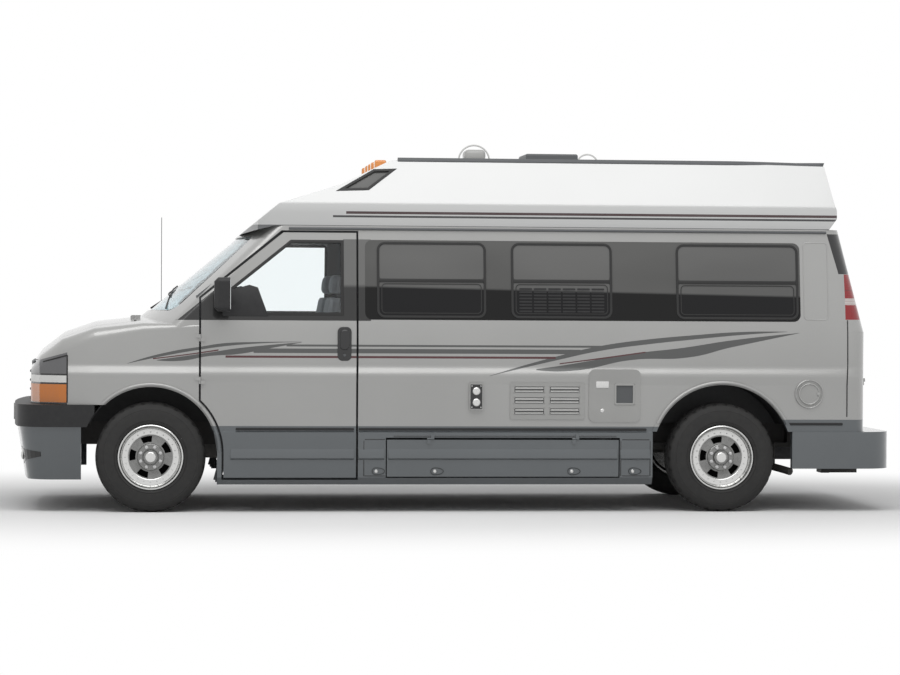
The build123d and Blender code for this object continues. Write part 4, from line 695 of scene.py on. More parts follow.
def lens_finishes():
    """Lenses of the lamps."""
    lamp = Finish("front_lens", (0.7, 0.7, 0.68), Roughness=0.08, Coat_Weight=0.3)
    z = lamp.axis("Z")
    colour = lamp.mixed(lamp.over(z, LAMP_SPLITS[1]), (0.74, 0.74, 0.72), (0.13, 0.13, 0.135))
    colour = lamp.mixed(lamp.under(z, LAMP_SPLITS[0]), colour, (0.62, 0.18, 0.012))
    colour = lamp.mixed(lamp.over(z, ROOF_LAMP_Z), colour, AMBER)
    gap = lamp.either(*(lamp.between(z, *heights) for heights in LAMP_GAPS), lamp.under(z, LAMP_BOTTOM))
    lamp.colour_from(lamp.mixed(gap, colour, (0.02, 0.02, 0.02)))
    lamp.bump(lamp.wave(14.0, "Y"), 0.25, 0.002)

    red = Finish("tail_lens", TAIL_RED, Roughness=0.18, Coat_Weight=0.2)
    z = red.axis("Z")
    colour = red.mixed(red.between(z, *TAIL_BAND), TAIL_RED, (0.62, 0.58, 0.56))
    colour = red.mixed(red.between(z, *TAIL_LINE), colour, (0.12, 0.01, 0.01))
    ribs = red.scaled(red.wave(16.0, "Z"), 0.0, 1.0, 0.0, 0.25)
    red.colour_from(red.mixed(ribs, colour, (0.25, 0.01, 0.012)))
    red.bump(red.wave(22.0, "Z"), 0.3, 0.002)

    amber = Finish("amber_lens", AMBER, Roughness=0.12, Coat_Weight=0.7)
    amber.bump(amber.wave(40.0, "X"), 0.3, 0.001)


def plain(name, colour, clouds=None, rough=None, relief=None, **sockets):
    """Finish from clouds: two colours, scale and detail; roughness limits; strength and depth of relief."""
    finish = Finish(name, colour, **sockets)
    if clouds:
        dark, light, *pattern = clouds
        finish.colour_from(finish.mixed(finish.noise(*pattern), dark, light))
    if rough:
        finish.rough_from(finish.uneven(*rough))
    if relief:
        scale, strength, distance = relief
        finish.bump(finish.noise(scale), strength, distance)


def plain_finishes():
    """Rubber, metal and plastic."""
    plain("grey_trim", (0.10, 0.105, 0.11), relief=(700.0, 0.15, 0.0004), Roughness=0.5)
    plain(
        "tread_rubber", (0.020, 0.0195, 0.020), ((0.013, 0.013, 0.013), (0.030, 0.029, 0.028), 26.0),
        relief=(420.0, 0.2, 0.0006), Roughness=0.72,
    )
    plain("bright_alloy", (0.62, 0.62, 0.61), rough=(0.16, 0.28, 60.0, 4.0), Metallic=1.0)
    plain(
        "disc_alloy", (0.22, 0.22, 0.217), ((0.17, 0.17, 0.167), (0.28, 0.28, 0.275), 40.0, 4.0),
        (0.22, 0.34, 120.0), Metallic=0.9,
    )
    # Near black for the wheel's openings: painted shade
    plain("dark_hollow", (0.004, 0.004, 0.004), rough=(0.7, 0.9, 30.0), Specular_IOR_Level=0.05)
    plain(
        "moulded_black", (0.02, 0.02, 0.021), ((0.014, 0.014, 0.015), (0.028, 0.028, 0.029), 30.0),
        relief=(900.0, 0.2, 0.0004), Roughness=0.5, Specular_IOR_Level=0.35,
    )
    plain("gloss_black", (0.008, 0.008, 0.009), rough=(0.08, 0.16, 12.0), Coat_Weight=0.4)
    plain("seal_rubber", (0.012, 0.012, 0.012), relief=(500.0, 0.15, 0.0004), Roughness=0.6)
    plain(
        "moulded_grey", (0.40, 0.40, 0.39), ((0.38, 0.38, 0.37), (0.43, 0.43, 0.42), 6.0),
        relief=(800.0, 0.1, 0.0003), Roughness=0.4, Coat_Weight=0.2,
    )
    plain("mirror_glass", (0.85, 0.87, 0.88), rough=(0.02, 0.05, 40.0), Metallic=1.0)
    plain(
        "chassis_black", (0.03, 0.03, 0.031), ((0.022, 0.022, 0.022), (0.05, 0.046, 0.042), 18.0, 5.0),
        relief=(300.0, 0.2, 0.0006), Roughness=0.55,
    )
    plain(
        "rough_casting", (0.16, 0.16, 0.16), ((0.10, 0.10, 0.10), (0.2, 0.19, 0.18), 22.0, 5.0),
        relief=(350.0, 0.4, 0.001), Metallic=0.7, Roughness=0.5,
    )
    plain("bright_steel", (0.62, 0.62, 0.61), rough=(0.2, 0.36, 200.0, 2.0, (1, 1, 8)), Metallic=1.0)
    plain(
        "floor_carpet", (0.13, 0.13, 0.14), ((0.08, 0.08, 0.085), (0.2, 0.2, 0.21), 240.0),
        relief=(600.0, 0.6, 0.002), Roughness=0.95,
    )
    plain(
        "dash_plastic", (0.17, 0.175, 0.185), ((0.15, 0.155, 0.165), (0.2, 0.205, 0.215), 8.0),
        relief=(420.0, 0.25, 0.0006), Roughness=0.6,
    )


def room_finishes():
    """Wood and seat cloth."""
    wood = Finish("grained_wood", (0.42, 0.27, 0.15), Roughness=0.35, Coat_Weight=0.3)
    grain = wood.noise(9.0, 6.0, (1.2, 14, 14))
    wood.colour_from(wood.mixed(wood.scaled(grain, 0.35, 0.65, 0, 1), (0.30, 0.18, 0.09), (0.50, 0.34, 0.20)))
    wood.bump(grain, 0.1, 0.0006)

    cloth = Finish("seat_cloth", (0.30, 0.31, 0.33), Roughness=0.9, Sheen_Weight=0.3)
    weave = cloth.both(cloth.wave(150.0, "X"), cloth.wave(150.0, "Z"))
    colour = cloth.mixed(cloth.noise(12.0), (0.24, 0.25, 0.27), (0.36, 0.37, 0.39))
    cloth.colour_from(cloth.mixed(weave, colour, (0.19, 0.20, 0.22)))
    cloth.bump(weave, 0.5, 0.001)


# Finish of each slot of the record, of solids that differ from their slot, and slot of each other finish
SLOT_FINISH = {
    "silver_paint": "body_paint",
    "white_fibreglass": "roof_gelcoat",
    "dark_plastic": "cladding_paint",
    "black_plastic": "moulded_black",
    "light_plastic": "moulded_grey",
    "clear_glass": "window_glass",
    "dark_glass": "tinted_glass",
    "lamp_lens": "front_lens",
    "red_lens": "tail_lens",
    "painted_steel": "floor_carpet",
    "chassis_steel": "chassis_black",
    "brushed_rod": "bright_steel",
    "cast_metal": "rough_casting",
    "seat_fabric": "seat_cloth",
    "cabinet_wood": "grained_wood",
    "polished_alloy": "bright_alloy",
    "tyre_rubber": "tread_rubber",
}
NODE_FINISH = {
    "dashboard": "dash_plastic",
    "bulkhead": "dash_plastic",
    "roof_vents": "grey_trim",
    "rear_bumper": "cladding_paint",
    "front_bumper": "moulded_black",
}
FINISH_SLOT = {finish: slot for slot, finish in SLOT_FINISH.items()}
FINISH_SLOT.update(
    grey_trim="black_plastic", gloss_black="black_plastic", seal_rubber="black_plastic",
    pane_glass="dark_glass", smoked_glass="dark_glass", mirror_glass="clear_glass", amber_lens="lamp_lens",
)


class VAN_OT_finishes(bpy.types.Operator):
    """Make the finishes and give each solid its own"""

    bl_idname = "van.finishes"
    bl_label = "Finishes"

    def execute(self, context):
        paint = context.scene.van_paint
        body_paint(paint)
        roof_paint(paint)
        glass_finishes()
        lens_finishes()
        plain_finishes()
        room_finishes()
        slots = {part["node"]: part["material_slot"] for part in frame["record"]["subparts"]}
        for name, solid in frame["nodes"].items():
            finish = NODE_FINISH.get(name, SLOT_FINISH[slots[name]])
            solid.data.materials.clear()
            solid.data.materials.append(bpy.data.materials[finish])
            solid.data.polygons.foreach_set("use_smooth", [True] * len(solid.data.polygons))
            weld = solid.modifiers.new("Weld", "WELD")
            weld.merge_threshold = 0.00005
            split = solid.modifiers.new("Sharp edges", "EDGE_SPLIT")
            split.split_angle = radians(28)
        return {"FINISHED"}


# Wheels: profiles of (radius, distance outwards)
TYRE_HALF = (
    (0.2235, 0.1000), (0.2300, 0.1130), (0.2420, 0.1175), (0.2440, 0.1155), (0.2480, 0.1155),
    (0.2500, 0.1185), (0.2900, 0.1198), (0.3180, 0.1180), (0.3200, 0.1160), (0.3240, 0.1158),
    (0.3260, 0.1165), (0.3430, 0.1110), (0.3580, 0.1030), (0.3680, 0.0910), (0.3725, 0.0720),
    (0.3735, 0.0600), (0.3650, 0.0590), (0.3650, 0.0520), (0.3742, 0.0510), (0.3747, 0.0230),
    (0.3660, 0.0220), (0.3660, 0.0150), (0.3748, 0.0140),
)
RIM = (
    (0.2220, 0.1020), (0.2212, 0.1095), (0.2170, 0.1120), (0.2120, 0.1105), (0.2040, 0.1000),
    (0.1990, 0.0860), (0.1965, 0.0700), (0.1920, 0.0640), (0.1850, 0.0625), (0.1560, 0.0620),
    (0.1520, 0.0590), (0.1480, 0.0580), (0.0980, 0.0580), (0.0930, 0.0600), (0.0900, 0.0680),
    (0.0860, 0.0710), (0.0560, 0.0720), (0.0540, 0.0700), (0.0520, 0.0700), (0.0510, 0.0760),
    (0.0500, 0.0920), (0.0470, 0.0960), (0.0360, 0.0970), (0.0350, 0.1010), (0.0310, 0.1040),
    (0.0000, 0.1050), (0.0000, 0.0220), (0.1900, 0.0220), (0.1920, -0.0900), (0.2100, -0.1100),
    (0.2210, -0.1100), (0.2220, -0.1000),
)
WHEEL_STEPS = 90
# Tread blocks: least radius and distances from the middle of the outer and inner rows, groove depth
OUTER_BLOCKS = (0.352, 0.060, 0.108)
INNER_BLOCKS = (0.372, 0.024, 0.051)
TREAD_DEPTH = 0.006
# Disc, darker than the lip as a duller alloy and as painted shade of its recess, and its openings, painted
# near black as painted shade: radii, half angle, first angle, depth
DISC_REACH = (0.040, 0.150)
OPENING_REACH = (0.099, 0.147)
OPENING_HALF = 18
OPENING_TURN = 28
OPENING_DEPTH = 0.032
# Nuts and bolts: profile, radius of the circle they sit on and its distance outwards
NUT = ((0, 0.002), (0.0125, 0.002), (0.0125, -0.014), (0.009, -0.021), (0, -0.022))
NUT_CIRCLE = (0.0715, -0.0715)
BOLT = ((0, 0.002), (0.005, 0.002), (0.005, -0.003), (0.003, -0.0055), (0, -0.006))
BOLT_CIRCLE = (0.1705, -0.0623)


def make_tyre():
    """Tyre with grooves round the tread and blocks on its shoulders."""
    profile = [(r, -d) for r, d in TYRE_HALF] + [(r, d) for r, d in reversed(TYRE_HALF)]
    tyre = lathe(profile, steps=WHEEL_STEPS)
    edit(tyre)

    def notch(middle):
        turn = round((atan2(middle.z, middle.x) + 2 * pi) / (2 * pi / WHEEL_STEPS) - 0.5)
        for shift, (least, near, far) in ((0, OUTER_BLOCKS), (1, INNER_BLOCKS)):
            if hypot(middle.x, middle.z) > least and near < abs(middle.y) < far:
                return (turn + shift) % 3 == 0
        return False

    choose_faces(tyre, notch)
    bpy.ops.mesh.extrude_region_shrink_fatten(TRANSFORM_OT_shrink_fatten={"value": -TREAD_DEPTH})
    close_up()
    return tyre


def circle_of(piece, count, circle, shift=0.0):
    """Copies of a small part round a wheel, in place of the part."""
    radius, depth = circle
    copies = []
    for index in range(count):
        turn = 2 * pi * (index + shift) / count
        copies.append(copied(piece, Matrix.Translation((radius * cos(turn), depth, radius * sin(turn)))))
    bpy.data.objects.remove(piece)
    return copies


def make_rim(sizes):
    """Polished wheel with its openings, rim bolts, lug nuts and hub cap; the disc is darker partly as painted
    shade, the openings near black as painted shade.
    """
    rim = lathe([(r, -d) for r, d in RIM], steps=WHEEL_STEPS)
    for finish in ("bright_alloy", "dark_hollow", "disc_alloy"):
        rim.data.materials.append(bpy.data.materials[finish])
    edit(rim)
    step = 360 / sizes.openings

    def disc(middle):
        return DISC_REACH[0] < hypot(middle.x, middle.z) < DISC_REACH[1] and middle.y < 0.0

    def opening(middle):
        turn = degrees(atan2(middle.z, middle.x)) - OPENING_TURN
        off = (turn + step / 2) % step - step / 2
        inside = OPENING_REACH[0] < hypot(middle.x, middle.z) < OPENING_REACH[1]
        return middle.y < -0.05 and inside and abs(off) < OPENING_HALF

    # The disc takes the darker alloy, darker partly as painted shade of its recess
    choose_faces(rim, disc)
    rim.active_material_index = 2
    bpy.ops.object.material_slot_assign()
    choose_faces(rim, opening)
    bpy.ops.mesh.inset(thickness=0.004, depth=-0.001)
    bpy.ops.mesh.extrude_region_move(TRANSFORM_OT_translate={"value": (0, OPENING_DEPTH, 0)})
    # The openings take near black: painted shade
    rim.active_material_index = 1
    bpy.ops.object.material_slot_assign()
    close_up()
    nuts = circle_of(lathe(NUT, steps=6), sizes.nuts, NUT_CIRCLE, 0.5)
    bolts = circle_of(lathe(BOLT, steps=8), sizes.bolts, BOLT_CIRCLE)
    return joined([rim, *nuts, *bolts])


class VAN_OT_wheels(bpy.types.Operator):
    """Make the four wheels with their tyres"""

    bl_idname = "van.wheels"
    bl_label = "Wheels"

    def execute(self, context):
        rim = make_rim(context.scene.van_sizes)
        tyre = make_tyre()
        for corner in WHEELS:
            body = f"wheel_{corner}"
            low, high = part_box(f"tyre_{corner}")
            middle = (low + high) / 2
            move = Matrix.Translation(middle)
            if middle.y > 0:
                move = move @ Matrix.Rotation(pi, 4, "Z")
            alloy = copied(rim, move)
            settle(alloy, f"alloy_{corner}", None, body, stands_for=(body,), angle=30)
            tread = copied(tyre, move)
            settle(tread, f"tread_{corner}", "tread_rubber", body, stands_for=(f"tyre_{corner}",), angle=30)
        for spare in (rim, tyre):
            bpy.data.objects.remove(spare)
        return {"FINISHED"}


# Framed windows on the driver's side: front, rear, with a louvred lower half or not; and on the other side
BAND_WINDOWS = ((-0.558, 0.193, False), (0.367, 1.069, True), (1.517, 2.376, False))
FAR_WINDOWS = ((0.70, 1.45), (1.517, 2.376))
BAND_Z = (1.332, 1.852)
BAND_CORNER = 0.055
DIVIDER_Z = 1.588
DIVIDER_HALF = 0.012
# Louvres: columns, rows, lowest edge, distance between rows, height
LOUVRES = (6, 8, 1.375, 0.022, 0.012)
# Width of a bevel on seals
SEAL_EDGE = 0.0015


def window_frame(front, rear, side, seal):
    """Seal and divider of a framed window."""
    divider = (DIVIDER_Z - DIVIDER_HALF, DIVIDER_Z + DIVIDER_HALF)
    bar = rounded((front + 0.010, rear - 0.010), divider, 0.004, 2)
    return [
        side_ring(rounded((front, rear), BAND_Z, BAND_CORNER), seal, side, 0.002, 0.006),
        side_plate(bar, side, 0.002, 0.005),
    ]


def window_pane(front, rear, z, side):
    """Glass of half a framed window."""
    return side_plate(rounded((front + 0.012, rear - 0.012), z, 0.045), side, 0.001, 0.0015)


class VAN_OT_side_windows(bpy.types.Operator):
    """Make the frames, dividers and louvres of the side windows"""

    bl_idname = "van.side_windows"
    bl_label = "Side windows"

    def execute(self, context):
        seal = context.scene.van_sizes.seal
        upper_z = (DIVIDER_Z, BAND_Z[1] - 0.012)
        lower_z = (BAND_Z[0] + 0.012, DIVIDER_Z)
        frames, sashes, slats, upper, lower = [], [], [], [], []
        for front, rear, louvred in BAND_WINDOWS:
            frames += window_frame(front, rear, LEFT, seal)
            upper.append(window_pane(front, rear, upper_z, LEFT))
            lower.append(window_pane(front, rear, lower_z, LEFT))
            inner = rounded((front + 0.030, rear - 0.030), (BAND_Z[0] + 0.03, DIVIDER_Z - 0.02), 0.03)
            sashes.append(side_ring(inner, 0.006, LEFT, 0.001, 0.004))
            if louvred:
                columns, rows, first, pitch, height = LOUVRES
                width = (rear - front - 0.10) / columns
                for column in range(columns):
                    left = front + 0.05 + column * width
                    for row in range(rows):
                        low = first + row * pitch
                        slat = rounded((left + 0.006, left + width - 0.006), (low, low + height), 0.004, 2)
                        slats.append(side_plate(slat, LEFT, 0.001, 0.005))
        settle(frames, "window_frames_left", "seal_rubber", edges=SEAL_EDGE)
        settle(sashes, "window_sash_left", "seal_rubber")
        settle(upper, "window_panes_upper", "pane_glass")
        settle(lower, "window_panes_lower", "smoked_glass")
        settle(slats, "window_louvres", "moulded_black")
        frames, panes = [], []
        for front, rear in FAR_WINDOWS:
            frames += window_frame(front, rear, RIGHT, seal)
            panes.append(window_pane(front, rear, upper_z, RIGHT))
        settle(frames, "window_frames_right", "seal_rubber", edges=SEAL_EDGE)
        settle(panes, "window_panes_right", "pane_glass")
        y = skin(0.05, 1.15, RIGHT)
        grip = box((0.020, y - 0.004, 1.048), (0.078, y + 0.034, 1.256), 0.014, 4)
        cup = box((0.014, y - 0.002, 1.040), (0.084, y + 0.006, 1.264), 0.003)
        settle([grip, cup], "side_door_handle", "gloss_black", "side_door_front")
        for tag in ("front", "rear"):
            low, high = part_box(f"side_door_glass_{tag}")
            outline = rounded((low.x - 0.004, high.x + 0.004), (low.z - 0.004, high.z + 0.004), 0.05)
            piece = side_ring(outline, seal, RIGHT, 0.004, 0.006)
            settle(piece, f"seal_side_{tag}", "seal_rubber", f"side_door_{tag}", edges=SEAL_EDGE)
        return {"FINISHED"}


# Front door window in side view, and the dark panel in its lower front corner
DOOR_WINDOW = ((-1.607, 1.345), (-0.785, 1.345), (-0.785, 1.862), (-1.148, 1.862), (-1.607, 1.491))
DOOR_SAIL = (
    (-1.612, 1.338), (-1.300, 1.338), (-1.345, 1.460), (-1.372, 1.535), (-1.430, 1.552), (-1.612, 1.500),
)
# Handle: station, height where it is laid on, outlines of grip and cup, height of the lock
HANDLE_X = -0.781
HANDLE_Z = 1.15
GRIP = rounded((-0.812, -0.750), (1.110, 1.250), 0.026)
CUP = rounded((-0.829, -0.733), (1.036, 1.268), 0.034)
LOCK_Z = 1.075
DOOR_LOCK = ((0, 0), (0.011, 0), (0.011, 0.006), (0.008, 0.009), (0, 0.009))
# Mirror glass: inner and outer edge
MIRROR_Y = (1.045, 1.232)


class VAN_OT_front_doors(bpy.types.Operator):
    """Make the handles, seals, sails and mirrors of the front doors"""

    bl_idname = "van.front_doors"
    bl_label = "Front doors"

    def execute(self, context):
        for side, name in SIDES:
            body = f"door_front_{name}"
            y = skin(HANDLE_X, HANDLE_Z, side)
            grip = wall_plate(GRIP, y, side * 0.030)
            cup = wall_plate(CUP, y - side * 0.006, side * 0.014)
            lock = lathe([(r, side * d) for r, d in DOOR_LOCK], (HANDLE_X, y + side * 0.006, LOCK_Z), "Y", 24)
            handle = [rounded_edges(grip, 0.010, 3), rounded_edges(cup, 0.004)]
            settle(handle, f"door_handle_{name}", "gloss_black", body)
            settle(lock, f"door_lock_{name}", "grey_trim", body)
            seal = side_ring(DOOR_WINDOW, 0.022, side, 0.012, 0.003)
            settle(seal, f"door_seal_{name}", "seal_rubber", body, edges=0.002)
            sail = side_plate(DOOR_SAIL, side, 0.010, 0.006)
            settle(sail, f"door_sail_{name}", "moulded_black", body, edges=0.004)
            low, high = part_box(f"mirror_{name}")
            near, far = sorted(side * reach for reach in MIRROR_Y)
            glass = box((high.x - 0.001, near, low.z + 0.016), (high.x + 0.004, far, high.z - 0.016), 0.0015)
            settle(glass, f"mirror_glass_{name}", "mirror_glass", body)
        return {"FINISHED"}


# Back of the van in side view, and the outlines of the door openings
REAR_SECTION = ((0.55, 2.872), (0.85, 2.868), (1.335, 2.841), (1.65, 2.776), (1.96, 2.690))
FRONT_DOOR = (
    (-1.764, 1.462), (-1.764, 0.765), (-1.690, 0.660), (-1.640, 0.540), (-1.618, 0.405),
    (-1.622, 0.300), (-1.640, 0.230), (-0.692, 0.230), (-0.692, 1.919), (-1.199, 1.919),
)
SIDE_DOORS = ((-0.644, 0.562), (0.589, 0.562), (0.589, 1.918), (-0.644, 1.918))
# Uprights of the rear opening and heights where the back folds; its sill and head: height, half width
REAR_OPENING_Y = 0.779
REAR_JAMB_Z = (0.56, 0.85, 1.335, 1.65, 1.87)
REAR_BARS = ((0.580, 0.042), (1.869, 0.024))
# Half width of the jambs, their depth under the skin and their thickness
SIDE_JAMB_HALF = 0.026
REAR_JAMB_HALF = 0.024
JAMB_DEPTH = 0.053
JAMB_THICKNESS = 0.006
# Seals where two doors meet: half width, distance from the gap's middle, side doors' gap and heights
MEETING_HALF = 0.0110
MEETING_SHIFT = 0.0122
SIDE_MEETING_X = 0.100
SIDE_MEETING_Z = (0.575, 1.905)
REAR_MEETING_Z = (0.575, 0.85, 1.335, 1.65, 1.855)


def behind_left(x, z):
    """Point under the driver's side skin."""
    return (x, -(flank(z) - JAMB_DEPTH), z)


def behind_right(x, z):
    """Point under the passenger's side skin."""
    return (x, flank(z) - JAMB_DEPTH, z)


def behind_rear(y, z):
    """Point under the skin of the van's back."""
    for (low, deep), (high, short) in zip(REAR_SECTION, REAR_SECTION[1:]):
        if z <= high:
            break
    return (deep + (short - deep) * (z - low) / (high - low) - JAMB_DEPTH, y, z)


INWARDS = {
    behind_left: (0, JAMB_THICKNESS, 0),
    behind_right: (0, -JAMB_THICKNESS, 0),
    behind_rear: (-JAMB_THICKNESS, 0, 0),
}


def jamb(start, end, half, place):
    """Strip behind a gap, between two points of an outline."""
    start = Vector(start)
    end = Vector(end)
    run = (end - start).normalized()
    across = Vector((-run.y, run.x)) * half
    start = start - run * half * 0.6
    end = end + run * half * 0.6
    corners = (start - across, end - across, end + across, start + across)
    return plate([place(*corner) for corner in corners], INWARDS[place])


def upright(y, heights, half):
    """Strips up the back of the van, one for each flat of it."""
    return [jamb((y, low), (y, high), half, behind_rear) for low, high in zip(heights, heights[1:])]


class VAN_OT_jambs(bpy.types.Operator):
    """Make the door jambs, dark grey as painted shade, and the seals behind the gaps"""

    bl_idname = "van.jambs"
    bl_label = "Door jambs"

    def execute(self, context):
        strips = []
        for outline, place in (
            (FRONT_DOOR, behind_left), (FRONT_DOOR, behind_right), (SIDE_DOORS, behind_right)
        ):
            for start, end in zip(outline, outline[1:] + outline[:1]):
                strips.append(jamb(start, end, SIDE_JAMB_HALF, place))
        for side in (LEFT, RIGHT):
            strips += upright(side * REAR_OPENING_Y, REAR_JAMB_Z, REAR_JAMB_HALF)
        for z, half in REAR_BARS:
            strips.append(jamb((-0.78, z), (0.78, z), half, behind_rear))
        # The jambs, body colour on the real van, are given dark grey: painted shade of the gaps
        settle(strips, "door_jambs", "grey_trim")
        for shift, tag in ((-MEETING_SHIFT, "front"), (MEETING_SHIFT, "rear")):
            x = SIDE_MEETING_X + shift
            lip = jamb((x, SIDE_MEETING_Z[0]), (x, SIDE_MEETING_Z[1]), MEETING_HALF, behind_right)
            settle(lip, f"meeting_seal_side_{tag}", "grey_trim", f"side_door_{tag}")
        for side, tag in SIDES:
            lips = upright(side * MEETING_SHIFT, REAR_MEETING_Z, MEETING_HALF)
            settle(lips, f"meeting_seal_rear_{tag}", "grey_trim", f"rear_door_{tag}")
        return {"FINISHED"}


# Fridge vent: fronts of its two columns; width of a slot, lowest slot, distance between slots, height
VENT_COLUMNS = (0.385, 0.630)
VENT_WIDTH = 0.215
VENT_LOW = 0.668
VENT_PITCH = 0.075
VENT_HEIGHT = 0.052
# A vent's slat in section: distance outwards, height
VENT_SLAT = ((0, 0.016), (-0.009, 0.004), (-0.009, 0), (0, 0.010))
# Hatch: outlines of the window's frame, its pane and the hatch's lip
HATCH_FRAME = rounded((1.085, 1.225), (0.740, 0.885), 0.012, 4)
HATCH_PANE = rounded((1.095, 1.215), (0.75, 0.875), 0.006, 3)
HATCH_LIP = rounded((0.930, 1.240), (0.645, 0.955), 0.030)
HATCH_KEEPER = ((0, 0.003), (0.014, 0.003), (0.014, -0.006), (0.010, -0.009), (0, -0.009))
# Power inlet: station, heights of its covers, places of its screws
INLET_X = 0.125
INLET_COVERS_Z = (0.755, 0.832)
INLET_COVER = ((0, 0.002), (0.026, 0.002), (0.026, -0.012), (0.021, -0.016), (0, -0.017))
INLET_SCREWS = ((0.094, 0.722), (0.094, 0.868), (0.156, 0.722), (0.156, 0.868))
INLET_SCREW = ((0, 0.002), (0.004, 0.002), (0.004, -0.006), (0, -0.007))
# Pressed field behind the last window
QUARTER_FIELD = rounded((2.412, 2.588), (1.330, 1.872), 0.03)
# Fuel filler: place and the two rings round it
FILLER = (2.452, 0.818)
FILLER_RINGS = (
    ((0.066, 0.004), (0.072, 0.004), (0.074, -0.004), (0.070, -0.006), (0.066, -0.004)),
    ((0.092, 0.004), (0.099, 0.004), (0.100, -0.003), (0.096, -0.006), (0.092, -0.004)),
)


class VAN_OT_utility(bpy.types.Operator):
    """Make the fridge louvres, the hatch, the power inlet and the fuel filler"""

    bl_idname = "van.utility"
    bl_label = "Utility fittings"

    def execute(self, context):
        slots, slats, rims = [], [], []
        for column in VENT_COLUMNS:
            for row in range(context.scene.van_sizes.louvres):
                low = VENT_LOW + row * VENT_PITCH
                y = skin(column + 0.1, low + 0.02)
                outline = rounded((column, column + VENT_WIDTH), (low, low + VENT_HEIGHT), 0.012, 3)
                slots.append(wall_plate(outline, y + 0.002, -0.003))
                for bottom in (low + 0.008, low + 0.029):
                    points = [(column + 0.010, y + out, bottom + up) for out, up in VENT_SLAT]
                    slats.append(plate(points, (VENT_WIDTH - 0.020, 0, 0)))
                rims.append(wall_ring(outline, y, 0.005, -0.006))
        settle(slots, "fridge_slots", "gloss_black")
        settle(slats, "fridge_slats", "moulded_grey")
        settle(rims, "fridge_rims", "moulded_grey")

        y = skin(1.10, 0.80)
        rim = wall_ring(HATCH_FRAME, y + 0.004, 0.012, -0.014)
        pane = wall_plate(HATCH_PANE, y + 0.003, -0.005)
        latch = box((0.955, y - 0.010, 0.855), (1.045, y + 0.004, 0.905), 0.004)
        keeper = lathe(HATCH_KEEPER, (1.000, y, 0.700), "Y", 24)
        lip = wall_ring(HATCH_LIP, y + 0.002, 0.006, -0.008)
        settle(rim, "hatch_frame", "moulded_grey", edges=0.002)
        settle(pane, "hatch_window", "grey_trim")
        settle([latch, keeper], "hatch_latch", "bright_steel")
        settle(lip, "hatch_lip", "body_paint", edges=0.002)

        y = skin(INLET_X, 0.80)
        face = box((0.085, y - 0.004, 0.712), (0.165, y + 0.004, 0.878), 0.003)
        covers = [lathe(INLET_COVER, (INLET_X, y, z), "Y", 32) for z in INLET_COVERS_Z]
        covers += [lathe(INLET_SCREW, (x, y, z), "Y", 12) for x, z in INLET_SCREWS]
        settle(face, "inlet_face", "gloss_black")
        settle(covers, "inlet_covers", "bright_steel")

        fields = [side_ring(QUARTER_FIELD, 0.006, side, 0.002, 0.003) for side in (LEFT, RIGHT)]
        settle(fields, "quarter_relief", "body_paint", edges=0.002)
        x, z = FILLER
        y = skin(x, z)
        rings = [lathe(profile, (x, y, z), "Y", 64) for profile in FILLER_RINGS]
        tab = box((2.505, y - 0.006, 0.808), (2.528, y + 0.003, 0.828), 0.002)
        settle([*rings, tab], "filler_rings", "body_paint")
        return {"FINISHED"}


# Skirt locks: station and body, height, profile; recess round a lock: length to front and rear, half height
SKIRT_LOCKS = ((-0.560, "van"), (-0.157, "storage_lid"), (0.790, "storage_lid"), (1.214, "van"))
LOCK_TAGS = {"van": "skirt", "storage_lid": "lid"}
SKIRT_LOCK_Z = 0.282
SKIRT_LOCK = ((0, 0.002), (0.012, 0.002), (0.012, -0.005), (0.008, -0.009), (0, -0.009))
RECESS = (0.030, 0.060, 0.026)
RECESS_STEPS = 36
# Joints of the skirts: stations of upright ones; ends and heights of level ones; half width
JOINT_X = (-0.645, 1.130, 1.335)
JOINT_RUNS = ((-0.640, -0.500), (1.140, 1.330))
JOINT_Z = (0.250, 0.500)
JOINT_HALF = 0.003
# Lid's hinge: knuckles, first station, distance between them, length, height
KNUCKLES = (46, -0.44, 0.0335, 0.030, 0.5225)
# Raised ledges along the cladding: front, rear, body, side; and their section: height, distance outwards
LEDGES = (
    (-0.682, -0.505, "van", LEFT),
    (1.128, 1.335, "van", LEFT),
    (-0.682, 1.335, "van", RIGHT),
    (-0.478, 1.106, "storage_lid", LEFT),
    (-1.555, -0.712, "door_front_left", LEFT),
    (-1.555, -0.712, "door_front_right", RIGHT),
)
LEDGE_SECTION = ((0.450, -0.003), (0.376, 0.012), (0.370, 0.012), (0.360, -0.003))
# Black strips along the lower side: name, front, rear, bottom, body, sides; and their height
RUB_STRIPS = (
    ("rub_strip_middle", -0.680, 1.310, 0.560, "van", (LEFT, RIGHT)),
    ("rub_strip_rear", 2.300, 2.690, 0.600, "van", (LEFT, RIGHT)),
    ("rub_strip_door_left", -1.520, -0.712, 0.560, "door_front_left", (LEFT,)),
    ("rub_strip_door_right", -1.520, -0.712, 0.560, "door_front_right", (RIGHT,)),
)
RUB_STRIP_HEIGHT = 0.018


def recess(x, z):
    """Outline of the recess round a lock, drawn out to the rear."""
    short, long, half = RECESS
    points = []
    for step in range(RECESS_STEPS):
        turn = 2 * pi * step / RECESS_STEPS
        reach = long if cos(turn) > 0.3 else short
        points.append((x + reach * cos(turn), z + half * sin(turn)))
    return points


